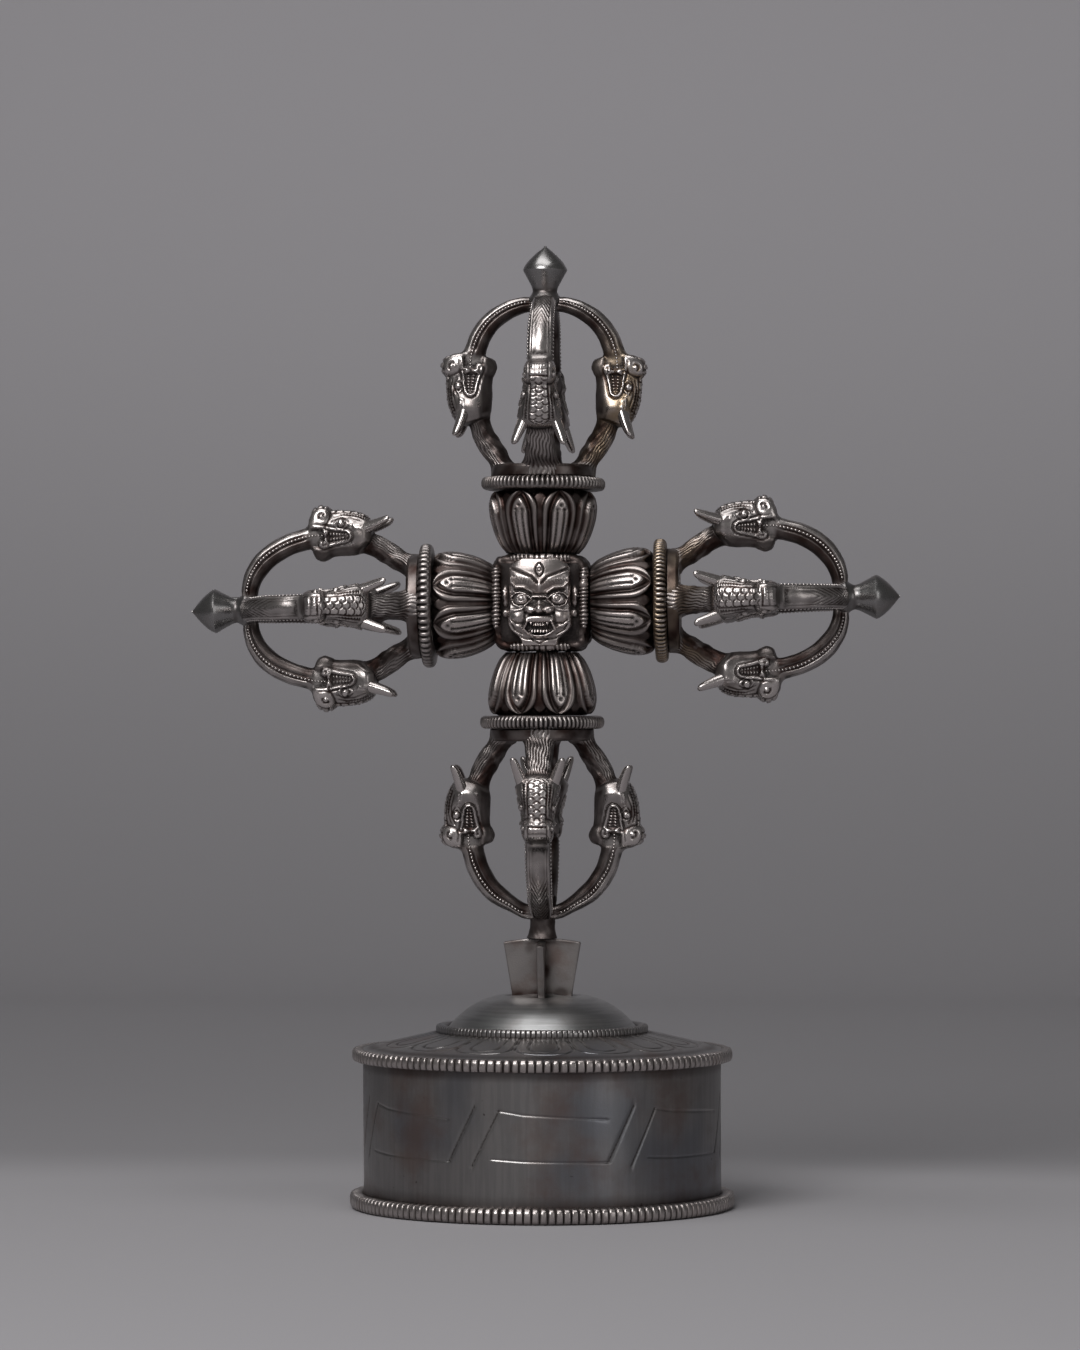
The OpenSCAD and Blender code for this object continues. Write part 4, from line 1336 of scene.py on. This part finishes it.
def in_outline(across, outline):
    """How deep a point of the cup lies inside one of the outlines of a petal."""
    wide, shoulder, tip_at, roundness = outline
    return inside_petal(across, along, wide * half_pitch, shoulder, tip_at, roundness)


lotus, angle, share, spread = tube_blank("lotus", 336, (8, 7))
cup = through(share, CUP_SHARES, CUP_RADII)
half_pitch = cup * np.pi / LOTUS_PETALS
petal_turn = np.degrees(angle) % (360 / LOTUS_PETALS) - 180 / LOTUS_PETALS
across = np.radians(petal_turn) * cup
along = share * LOTUS_LEN
lip_in = in_outline(across, LIP_OUTLINE)
tongue_in = in_outline(across, TONGUE_OUTLINE)
second_in = in_outline(half_pitch - np.abs(across), SECOND_OUTLINE)
valley = -2.2 + 1.0 * soft_step(second_in, 0, 0.7)
lip_out = -tongue_in - LIP_GAP
over_lip = np.clip(lip_in / np.maximum(lip_in + lip_out, 0.01), 0, 1)
roll = np.sin(np.pi * over_lip ** 0.8)
lip = CHANNEL + 1.10 * roll ** 0.6
rounded = 1 - 0.8 * (across / (TONGUE_OUTLINE[0] * half_pitch)) ** 2
tongue = 0.10 + 0.45 * rounded - 1.75 * soft_step(tongue_in, 0.45, -0.25)
on_petal = np.maximum(np.where(lip_out > 0, lip, CHANNEL), tongue)
carving = np.where(lip_in > 0, on_petal, np.minimum(valley, CHANNEL))
taper = half_pitch / half_pitch.max()
lines = 0
for dot_across, dot_along, lined in DOTS:
    sideways = across - dot_across * taper
    line = lined * hump(sideways, 0.28) * soft_step(dot_along - along, 0, 0.8) * (tongue_in > 0)
    lines = np.maximum(lines, np.maximum(line, hump(np.hypot(sideways, along - dot_along), 0.50)))
carving = (carving - DOT_DEPTH * lines) * soft_step(along, -1.5, 2.0)
radius = (cup + carving) * spread
put(lotus, *polar(angle, radius), LOTUS_D + along)
on_lip = 0.45 * (tongue_in < 0)
# Brown on the lips, soot deep in the cuts, and painted shade towards the hub.
keep(lotus, "grime_and_shade", on_lip + soft_step(-carving, 0.25, 0.9) + 0.35 * soft_step(along, 6.0, 1.0))
ridge = np.where((lip_in > 0) & (lip_out > 0), roll, 0)
keep(lotus, "relief", 0.5 + 0.22 * soft_step(tongue_in, 0.2, 0.7) + 0.14 * ridge - 0.9 * lines)
surface_piece(lotus, "carved_iron", sharp=75)
copy_to_arms(lotus, "carved_iron", ARM_TURNS, LOTUS_BEND)

# %% [markdown]
# A wire ring filed into beads closes the lotus, and a collar behind it carries the prongs. The ring comes
# from the function that made the rings of the stand, with the number of beads that each arm shows. The
# collar is left plain and dark, so a tube with a short outline and some unevenness is enough.

# %% Beaded ring
BEAD_WIRE = (RING_END_D - RING_D) / 2
BEAD_ROWS = 18
BEAD_NOTCH_SHARE = 0.20
BEAD_NOTCH_DEPTH = 0.90
BEAD_CUT = (-30, 130)
BEAD_SQUARE = 2.5
RING_BEND = 0.08
bead_ring_r = BEAD_RING_R - BEAD_WIRE - 0.1
bead_ring_d = (RING_D + RING_END_D) / 2
BEAD_NOTCHES = {"top": 76, "right": 74, "bottom": 80, "left": 56}
for arm, notches in BEAD_NOTCHES.items():
    width = BEAD_NOTCH_SHARE * 2 * math.pi * BEAD_RING_R / notches
    bead_ring = filed_ring("bead_ring", bead_ring_r, BEAD_WIRE, bead_ring_d, notches, BEAD_ROWS,
                           width, BEAD_NOTCH_DEPTH, *BEAD_CUT, square=BEAD_SQUARE)
    surface_piece(bead_ring, "ring_iron")
    copy_to_arms(bead_ring, "ring_iron", [arm], RING_BEND)

# %% Collar
COLLAR_OUTLINE = [(0, 15.6, -4.0), (0.12, 16.2, -3.6), (0.55, 16.0, -0.9), (0.68, 15.5, -0.1), (1, 3.4, 0)]
COLLAR_BEND = 0.08
collar, angle, share, spread = tube_blank("collar", 144, (5, 5))
radius, height = along_section(share, COLLAR_OUTLINE)
collar_x, collar_y = polar(angle, radius)
radius = (radius + 0.18 * uneven(collar_x, collar_y, height, 7, 11)) * spread
put(collar, *polar(angle, radius), CAGE_D + height)
keep(collar, "relief", 0.5)
keep(collar, "grime_and_shade", 0.85 + 0.3 * uneven(collar_x, collar_y, height, 5, 12))
surface_piece(collar, "carved_iron", sharp=50)
copy_to_arms(collar, "carved_iron", ARM_TURNS, COLLAR_BEND)

# %% [markdown]
# Three arms end in a polished point: a neck with a knot and a narrow waist, and a spindle with a sharp
# edge round its middle. A tube takes the neck's outline from a curve through a few radii. The point
# tapers by a power of its length, because a straight cone looks turned on a lathe.

# %% Pointed tip
EQUATOR_UP = 12.6
EQUATOR_D = NECK_D + EQUATOR_UP
WAIST_UP = 6.1
POINT_FROM = 0.55
POINT_POWER = 1.5
TIP_BEND = 0.02
tip_r = TIP_R - 0.05
WAIST = [(0, 4.2, 0), (0.07, 5.4, 2.0), (0.13, 5.6, 3.2), (0.19, 4.75, 4.3), (0.24, 4.15, 5.2),
         (0.29, 3.85, WAIST_UP), (0.34, 4.05, 7.0), (0.42, 5.0, 9.0), (POINT_FROM, tip_r, EQUATOR_UP)]
stations, waist_radii, waist_heights = np.array(WAIST).T

tip, angle, share, spread = tube_blank("tip", 96, (7, 6))
point = np.clip((share - POINT_FROM) / (1 - POINT_FROM), 0, 1)
to_point = EQUATOR_D + (APEX_D - 0.03 - EQUATOR_D) * point
height = np.where(share > POINT_FROM, to_point, NECK_D + np.interp(share, stations, waist_heights))
radius = np.minimum(through(share, stations, waist_radii), tip_r)
radius = np.where(share > POINT_FROM, tip_r * np.maximum(1 - point ** POINT_POWER, 0.06), radius) * spread
put(tip, *polar(angle, radius), height)
waist = soft_step(height - NECK_D, 8.0, 4.0)
keep(tip, "relief", 0.5 + 0.12 * hump(height - EQUATOR_D, 0.5))
keep(tip, "grime_and_shade", 0.25 * waist + 0.5 * hump(height - NECK_D - WAIST_UP, 0.8))
surface_piece(tip, "polished_iron", sharp=30)
copy_to_arms(tip, "polished_iron", ["top", "right", "left"], TIP_BEND)

# %% [markdown]
# ## The makara prongs
# A prong is a sea monster that swallows nothing and spits out its own tongue: a root of combed hair
# grows from the collar, swells into a head with a curled snout, a long mouth, eyes and two horns that
# point back, and the tongue bends round in an arc to the tip. It is one forging, so it is made from one
# tube. Stations along the tube give its outer and its inner edge, its width and how square its section
# is, and smooth curves through the stations give the form.

# %% Stations of a prong
ARC_U = 3.1
ARC_D = NECK_D - 17.2
TONGUE_R = 19.2
TONGUE_TURNS = (12, 25, 40, 55, 70, 82, 93)


def on_arc(bend, radius):
    """The place outwards and along the arm, from an angle on the tongue's arc and a radius."""
    across, up = polar(bend, radius)
    return ARC_U + across, ARC_D + up


def tongue_station(turn):
    """A station on the tongue's arc: thick at the mouth, thin at the neck."""
    share = (turn - TONGUE_TURNS[0]) / (TONGUE_TURNS[-1] - TONGUE_TURNS[0])
    bend = math.radians(turn)
    far, near = TONGUE_R + 3.5 - 1.3 * share, TONGUE_R - 3.4 + 1.3 * share
    half_wide = 4.0 - 0.55 * share - 0.9 * max(0, share - 0.8) / 0.2
    return (2.03 + 0.97 * share, *on_arc(bend, far), *on_arc(bend, near), half_wide, 3.2)


# A station: its place on the tube, its outer and inner edge, each outwards and along from the collar,
# half its width, and how square its section is.
ROOT_AND_HEAD = [
    (0.00, 16.2, -3.9, 9.6, -3.9, 6.0, 2.1),
    (0.20, 16.5, -1.0, 8.0, -0.2, 6.2, 2.1),
    (0.30, 17.1, 0.5, 10.3, 1.7, 5.2, 2.2),
    (0.45, 18.4, 2.2, 12.2, 5.5, 4.6, 2.4),
    (0.80, 22.1, 8.4, 16.0, 11.6, 4.0, 2.5),
    (1.00, 23.6, 12.1, 16.8, 14.6, 4.2, 2.4),
    (1.04, 26.0, 12.3, 16.8, 15.4, 5.2, 2.3),
    (1.10, 27.6, 13.6, 16.6, 16.6, 5.9, 2.3),
    (1.25, 29.1, 16.2, 16.4, 18.8, 6.5, 2.4),
    (1.45, 30.2, 19.9, 16.4, 21.4, 6.2, 2.5),
    (1.65, 30.7, 24.2, 16.4, 24.8, 5.3, 2.6),
    (1.78, 30.8, 27.2, 16.2, 27.3, 4.8, 2.6),
    (1.84, 31.9, 28.6, 15.5, 28.6, 4.8, 2.5),
    (1.90, 32.6, 30.5, 14.8, 30.6, 4.9, 2.4),
    (1.95, 31.7, 32.8, 15.6, 32.7, 4.7, 2.4),
    (1.98, 29.2, 34.4, 17.0, 33.5, 4.3, 2.5),
    (2.00, 26.4, 35.0, 18.1, 33.9, 4.0, 2.8),
]
STATIONS = [
    (at, outer_out, CAGE_D + outer_along, inner_out, CAGE_D + inner_along, half, square)
    for at, outer_out, outer_along, inner_out, inner_along, half, square in ROOT_AND_HEAD
] + [tongue_station(turn) for turn in TONGUE_TURNS]
print("prong laid out in", len(STATIONS), "stations")

# %% Forge the prong
RUN_SHARES = [0, 0.13, 0.17, 0.65, 1]
RUN_PLACES = [0, 0.98, 1.04, 2.0, 3]
knots, *columns = np.array(STATIONS).T

prong, angle, share, spread = tube_blank("prong", 132, (13, 13))
run = np.interp(share, RUN_SHARES, RUN_PLACES)
outer_u, outer_d, inner_u, inner_d, half_w, square = [through(run, knots, column) for column in columns]
angle = angle + 0.12 * np.sin(2 * angle) - 0.22 * np.sin(angle)
out, sideways = np.cos(angle), np.sin(angle)
fit = (np.abs(out) ** square + np.abs(sideways) ** square) ** (-1 / square) * spread
outwards = 0.5 + 0.5 * fit * out
u = inner_u + outwards * (outer_u - inner_u)
d = inner_d + outwards * (outer_d - inner_d)
w = fit * sideways * half_w
put(prong, u, w, d)
turn_outwards(prong)
print("prong forged with", len(run), "points")

# %% [markdown]
# The chasing is laid out on the forged form, with u outwards from the arm's axis, d along the arm and w
# to the side. Normals tell which stretch of the surface a pattern belongs to: the sides of the head get
# the mouth and the eye, its outer face the scales and the ringed snout, the root its hair. A scale is
# one stroke of a round punch, so the panel is flat, with rows of arcs that stand between each other.

# %% Chase the sides of the head
normal_u, normal_w, _ = facing(prong).T
flank = soft_step(np.abs(normal_w), 0.40, 0.68)
side_w = np.abs(w)
ahead = d - CAGE_D
head = between(run, 1.05, 1.12, 1.985, 2.01)


def groove(path, width, depth, shift=0.0):
    """A line chased along a path on the side of the head, or beside it by a shift."""
    return -depth * hump(to_path(u, ahead, path) - shift, width)


def away_from(place, wide=1, tall=1):
    """Distance from a place on the side of the head, in units of a width and a height."""
    return np.hypot((u - place[0]) / wide, (ahead - place[1]) / tall)


FANGS = (22.2, 29.1)
CURL = (19.9, 30.4)
NOSTRIL = (28.6, 30.4)
NOSE_LINE = [(26.2, 32.4), (25.9, 30.4), (26.4, 28.6), (28.4, 27.6), (30.4, 27.2)]
LIP = [(25.2, 28.6), (24.8, 26.4), (24.5, 24.0), (24.2, 22.4), (23.4, 21.4), (22.3, 21.2), (21.3, 21.8),
       (20.9, 23.2), (20.6, 25.0), (20.1, 27.0), (19.4, 28.9), (19.2, 30.1), (19.6, 31.0), (20.4, 31.1),
       (20.9, 30.3), (20.4, 29.6)]
jaws = -groove(LIP, 0.36, 0.50) + groove(LIP, 0.26, 0.45, 0.72)
gum_half = np.interp(ahead, [22.4, 28.2], [1.15, 1.70])
from_gum = u - 22.6 + 0.06 * (ahead - 23)
gums = np.minimum(gum_half - np.abs(from_gum), np.minimum(ahead - 22.3, 28.2 - ahead))
row = np.abs(from_gum) - 0.52 * gum_half
teeth = hump(row, 0.45) * (0.5 + 0.5 * np.cos(2 * np.pi * ahead / 0.95)) * soft_step(gums, 0.0, 0.3)
jaws = jaws - 0.48 * soft_step(gums, -0.1, 0.3) + 0.60 * teeth
fangs = np.abs(ahead - FANGS[1]) - 0.50 * np.abs(u - FANGS[0] - 0.05)
fangs = soft_step(-fangs, -0.12, 0.12) * soft_step(np.abs(u - FANGS[0]), 2.3, 2.0)
near_fangs = hump(away_from(FANGS, 2.5, 1.2), 1)
jaws = jaws * (1 - 0.8 * fangs) + 0.60 * fangs - 0.45 * near_fangs * (1 - fangs)

between_bulbs = between(u, 18.6, 19.4, 24.6, 25.4) * soft_step(ahead, 29.6, 30.6)
curl_lobe = hump(away_from(CURL), 1.5)
bulbs = -np.maximum(half_w - 3.85, 0) * between_bulbs * (1 - curl_lobe)
bulbs = bulbs + 0.35 * (1 - between_bulbs) * soft_step(ahead, 27.6, 29.4)
nostril = away_from(NOSTRIL)
hook = soft_step(u - NOSTRIL[0] + 0.3 + 0.6 * (ahead - NOSTRIL[1]), 0, 0.4)
nose = 0.55 * cap(nostril / 0.75) - 0.60 * hump(nostril - 1.05, 0.24) * hook + groove(NOSE_LINE, 0.30, 0.30)
work = head * flank * (jaws + bulbs + nose)
print(f"mouth, fangs and nostril, up to {work.max():.2f} mm high")

# %% Eyes, ears and combed hair
EYE = (26.6, 24.2)
EYE_R = 1.10
HAIR = [
    [(27.2, 27.0), (28.3, 24.6), (28.3, 21.4), (27.4, 18.3), (26.4, 16.2)],
    [(28.6, 26.4), (29.3, 23.6), (29.0, 20.0), (28.0, 16.8)],
]
EAR_RIDGE = [(25.4, 19.6), (25.5, 18.6), (25.0, 17.7)]
EAR_LINE = [(25.4, 19.4), (25.3, 17.6)]
EAR_DOTS = [(26.0, 21.2), (25.9, 20.3)]
CHEEK = (22.5, 18.0)

from_eye = away_from(EYE)
along_lid = np.clip((ahead - 21.8) / 4.6, 0, 1)
eyelid = np.abs(u - 26.45 + 0.30 * along_lid) - 1.35 * np.sin(np.pi * along_lid ** 1.25) ** 0.8
at_lid = between(ahead, 21.4, 22.0, 26.2, 26.8)
eyes = 0.75 * cap(from_eye / EYE_R) - 0.35 * hump(from_eye - 1.3, 0.22)
eyes = eyes + at_lid * (0.24 * hump(eyelid, 0.28) - 0.30 * hump(eyelid - 0.60, 0.24))
hair = sum(groove(path, 0.28, 0.24) for path in HAIR)
ear = 0.40 * hump(to_path(u, ahead, EAR_RIDGE), 0.75) + groove(EAR_LINE, 0.26, 0.28)
ear = ear + sum(0.22 * hump(away_from(dot), 0.32) for dot in EAR_DOTS)
cheek = 0.45 * hump(away_from(CHEEK, 3.4, 2.6), 1)
work = work + head * flank * (eyes + hair * soft_step(eyelid, 0.5, 0.8) + ear + cheek)
print("eyes, ears and", len(HAIR), "lines of hair")

# %% Scales and snout
SCALE_W = 3.9
SCALE_ROW = 1.25
SCALE_R = 1.05
TICK = 0.95
PANEL_FROM = 29.4
# Each ring of the snout: how far along it lies, and how deep it is cut.
SNOUT_RINGS = [(34.2, 0.30), (32.0, 0.50), (29.8, 0.70)]
SNOUT_MIDDLE = 32

outer = soft_step(normal_u, 0.55, 0.80) * head
back_from = (PANEL_FROM - ahead) / SCALE_ROW
row_number = np.floor(back_from)
across = ((w / SCALE_W + 0.5 * (row_number % 2)) % 1 - 0.5) * SCALE_W
backwards = (back_from - row_number) * SCALE_ROW
from_punch = np.hypot(across, backwards) - SCALE_R
punched = hump(from_punch, 0.27) * soft_step(backwards, 0.0, 0.25)
scales = 0.10 + 0.12 * hump(from_punch + 0.45, 0.40) - 0.30 * punched
panel_half = (2.75 + 0.35 * hump(ahead - 19, 4)) * np.sqrt(np.clip((ahead - 13.4) / 2.4, 0.01, 1))
beside = side_w - panel_half
panel = soft_step(-beside, 0, 0.25) * between(ahead, 13.5, 14.0, 29.0, 29.5)
mane = between(beside, 0.6, 0.8, 1.5, 1.7) * hump((ahead / TICK) % 1 - 0.5, 0.28)
wavy = beside - 1.9 - 0.15 * np.sin(0.75 * ahead)
strokes = -0.40 * hump(beside - 0.20, 0.26) - 0.28 * hump(wavy, 0.26) - 0.22 * mane
on_skull = between(ahead, 13.6, 15.0, 28.6, 29.4)
work = work + outer * (panel * scales + on_skull * strokes)

from_middle = np.abs(ahead - SNOUT_MIDDLE)
banded = between(from_middle, 0.3, 0.5, 1.5, 1.7) * hump((w / TICK) % 1 - 0.5, 0.28)
rings = -0.14 * banded
for ring_d, ring_depth in SNOUT_RINGS:
    rings = rings - ring_depth * hump(ahead - ring_d, 0.24)
on_snout = soft_step(normal_u, 0.15, 0.45) * soft_step(ahead, 29.2, 29.6) * soft_step(u, 26.5, 27.5) * head
work = work + on_snout * (rings * soft_step(2.9 - side_w, 0, 0.25) - 0.50 * hump(side_w - 2.95, 0.22))
print("rows of scales:", int((PANEL_FROM - 14) / SCALE_ROW))

# %% Tongue and root
VEIN_PITCH = 1.7
LOCKS = 13
tongue = between(run, 2.03, 2.08, 2.86, 2.94)
outness = fit * out
arc = np.arctan2(d - ARC_D, u - ARC_U) * TONGUE_R
face = soft_step(outness, 0.75, 0.92)
midrib = 0.16 * hump(w, 1.0) - 0.12 * hump(side_w - 1.9, 0.6)
veins = ((arc + 1.6 * side_w) / VEIN_PITCH) % 1 - 0.5
vein = soft_step(arc, 10, 14) * hump(veins, 0.13) * (side_w < half_w - 1.2)
edges = 0.10 * hump(side_w - half_w + 0.45, 0.35) - 0.22 * hump(side_w - half_w + 1.05, 0.24)
beside_beads = -0.34 * (hump(outness + 0.06, 0.08) + hump(outness - 0.38, 0.08))
on_side = soft_step(np.abs(normal_w), 0.5, 0.8)
work = work + tongue * (face * (midrib - 0.28 * vein + edges) + on_side * beside_beads)

root = soft_step(run, 1.02, 0.92)
combed = angle * LOCKS + 1.2 * np.sin(0.55 * ahead + 1.3 * angle) + 0.9 * np.sin(1.2 * ahead + 3 * angle)
lock = np.abs(np.sin(combed))
hairy = soft_step(outness, -0.10, 0.25)
work = work + root * hairy * (0.14 * lock - 0.40 * (1 - lock) ** 3) + 0.06 * uneven(u, w, d, 4.5, 12)
work = work + root * (1 - hairy) * 0.16 * uneven(u, w, d, 2.4, 13)
chase(prong, np.where(spread > 0.5, work, 0))
print(f"chased from {work.min():.2f} to {work.max():.2f} mm")

# %% [markdown]
# The inner side of the tongue, the inner part of the head and the inner half of the root are made darker,
# and soot and old dirt stay between the locks of the root and down in the cuts. Shade is painted under the
# back of the head, at the ends of the tongue and where the root meets the collar. These places are known
# from the rules above, so the second attribute of the finish is written from them.

# %% Darker inner side, soot in the cuts and painted shade
past_head = soft_step(run, 1.96, 2.02)
bead_strip = soft_step(np.abs(normal_w), 0.6, 0.85) * (np.abs(outness - 0.16) < 0.24)
tongue_inner_dark = np.maximum(soft_step(outness, 0.05, -0.30), 0.9 * bead_strip) * past_head
head_inner_dark = soft_step(u, 20.2, 18.6) * head * (1 - past_head)
root_dark = hairy * (0.42 + 0.58 * (1 - lock) ** 2) + 1 - hairy
# The last term is painted shadow under the back edge of the head.
soot_and_shade = tongue_inner_dark + head_inner_dark + root * root_dark + 0.7 * hump(run - 1.0, 0.07)
in_cuts_and_shade = soft_step(head * flank * bulbs - work, 0.08, 0.27) + 0.9 * panel * outer * punched
# The last term here is painted shade at the ends of the tongue.
in_cuts_and_shade = in_cuts_and_shade + 0.7 * tongue * face * vein + 0.6 * soft_step(run, 2.78, 2.95)
# Painted shade where the root meets the collar.
in_cuts_and_shade = in_cuts_and_shade + 0.35 * root * soft_step(ahead, 2.5, 0)
keep(prong, "grime_and_shade", soot_and_shade + in_cuts_and_shade)
# The share counted below takes soot and painted shade together.
print(f"soot on {100 * np.mean(soot_and_shade + in_cuts_and_shade > 0.5):.0f} % of the prong's points")

# %% [markdown]
# Two horns and a row of beads on each side of the tongue stand clear of the forging, so they are small
# tubes and balls of their own. They are joined to the prong before its relief is measured.

# %% Horns and the bead rows
HORN_MIDDLE = [(24.6, 4.5, 17.4), (25.8, 6.4, 12.8), (27.6, 7.7, 8.7)]
HORN_RADII = [2.0, 1.6, 1.15]
BEAD_R = 0.44
BEAD_PITCH = 1.0
BEADS = 30
BEAD_START = -5.5
BEAD_TURNS = [0, 12, 72, 82, 93]
BEAD_SIDES = [3.84, 3.90, 3.48, 3.14, 2.47]
PRONG_PASSES, PRONG_REACH = 30, 0.55


def horn(side):
    """A blunt horn that grows from behind the eye and points back."""
    tube, angle, share, spread = tube_blank("horn", 28, (4, 5))
    base, bow, end = [np.array(place)[:, None] * np.array([1, side, 1])[:, None] for place in HORN_MIDDLE]
    middle = base * (1 - share) ** 2 + 2 * bow * share * (1 - share) + end * share ** 2
    radius = through(share, [0, 0.5, 1], HORN_RADII) * np.sqrt(np.clip(1 - share ** 14, 0.04, 1))
    radius = radius * (1 + 0.04 * np.cos(4 * angle)) * spread
    across, sideways = polar(angle, radius)
    put(tube, middle[0] + across, middle[1] + sideways, middle[2] + CAGE_D)
    turn_outwards(tube)
    keep(tube, "horn", 1)
    return tube


def bead(turn, side):
    """One small bead of the row along the tongue's side."""
    outwards, along = on_arc(math.radians(turn), TONGUE_R + 0.62)
    place = (outwards, side * np.interp(turn, BEAD_TURNS, BEAD_SIDES), along)
    bpy.ops.mesh.primitive_ico_sphere_add(subdivisions=1, radius=BEAD_R * MM, location=Vector(place) * MM)
    bpy.ops.object.transform_apply(location=True, rotation=False, scale=False)
    return bpy.context.object


bead_turn = math.degrees(BEAD_PITCH / TONGUE_R)
bpy.ops.object.select_all(action="DESELECT")
beads = [bead(BEAD_START + bead_turn * k, side) for side in (-1, 1) for k in range(BEADS)]
keep(prong, "horn", 0)
join([prong, horn(1), horn(-1)] + beads)
mark_relief(prong, PRONG_PASSES, PRONG_REACH)
relief = kept(prong, "relief")
calm = hump(run - 2.015, 0.03)
relief[:len(run)] = relief[:len(run)] * (1 - calm) + 0.5 * calm + 0.12 * panel * outer * (1 - punched)
keep(prong, "relief", relief)
surface_piece(prong, "prong_iron")
print("prong of", len(prong.data.polygons), "faces, with", len(beads), "beads")

# %% [markdown]
# Sixteen prongs are copied from the one. In the photograph most heads sit closer to the collar than the
# two that flank the top arm, the roots are wider or narrower from arm to arm, and the bottom tongues run
# down into the stem in a V. So each copy is fitted first, while it still stands on +Z, and then turned
# to its arm.

# %% Sixteen prongs
PRONGS = {
    "top": ["right", "back", "left", "front"],
    "right": ["lower", "back", "upper", "front"],
    "bottom": ["left", "back", "right", "front"],
    "left": ["upper", "back", "lower", "front"],
}
USUAL_SET_BACK = 3.8
SET_BACK = {"top_right": 0, "top_left": 0, "bottom_left": 1.2, "bottom_right": 1.2}
ROOT_WIDTHS = {"top": 1.02, "right": 0.85, "bottom": 0.92, "left": 0.86}
NECK_DROPS = {"top": 0, "right": 0, "bottom": 1.3, "left": 0}
AT_STEM = 1.6
PRONG_BEND = 0.16
PRONG_SEED = 30


def fit_prong(piece, back, root_width, neck_drop):
    """Slide the head towards the hub, set the root's width and pull the end of the tongue outwards."""
    x, y, z = points(piece).T / MM
    ahead = z - CAGE_D
    on_horn = kept(piece, "horn")
    on_root = soft_step(ahead, 13, 9) * (1 - on_horn)
    begin = 12 - 6 * soft_step(x, 17, 21)
    slid = np.maximum(soft_step(ahead, begin, begin + 13), on_horn)
    slide = -back * slid * soft_step(ahead, 52, 34)
    at_neck = soft_step(ahead, 36, 50) + AT_STEM * soft_step(x, 12, 3) * soft_step(ahead, 40, 44)
    put(piece, x, y * (1 + (root_width - 1) * on_root), z + slide + neck_drop * at_neck)


for arm, sides in PRONGS.items():
    for quarter, side in enumerate(sides):
        twin = copy_piece(prong, f"makara_{arm}_{side}", Matrix.Identity(4))
        back = SET_BACK.get(f"{arm}_{side}", USUAL_SET_BACK)
        fit_prong(twin, back, ROOT_WIDTHS[arm], NECK_DROPS[arm])
        bend_by_hand(twin, PRONG_BEND, PRONG_SEED + 4 * ARM_TURNS[arm] / 90 + quarter)
        twin.data.transform(on_arm(arm, quarter))
        enter_frame(twin, "prong_iron", "vajra", f"prong_{arm}_{side}")
bpy.data.objects.remove(prong)

# %% [markdown]
# ## What stays as it was made
# The base plate under the drum and the rods inside the arms are plain in life too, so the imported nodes
# stay and only take a finish. They carry no relief, so the finish reads 0 there: a plain iron of their
# own, with patches and a fine tooth, is better.

# %% Plain iron for the rods and the base plate
RUST = (0.060, 0.026, 0.014, 1)
PLAIN_LEVEL = 0.20
plain_iron = Finish("plain_iron")
plain_rusted = plain_iron.rise(plain_iron.cloud(8, detail=5), 0.45, 0.7)
plain_specks = plain_iron.cloud(0.6, detail=2)
plain_iron.surface(
    base_color=plain_iron.mix(plain_rusted * 0.6, grey(PLAIN_LEVEL, 0.03), RUST),
    metallic=1 - 0.4 * plain_rusted,
    roughness=0.45 + (plain_specks - 0.5) * 0.2,
    normal=plain_iron.bump(plain_specks, 0.03),
)
PLAIN_NODES = ["base_plate"] + [f"axle_rod_{arm}" for arm in ARM_TURNS]
for node_name in PLAIN_NODES:
    node_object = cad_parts[node_name]
    node_object.data.materials.clear()
    node_object.data.materials.append(plain_iron.material)
print("plain iron on", PLAIN_NODES)
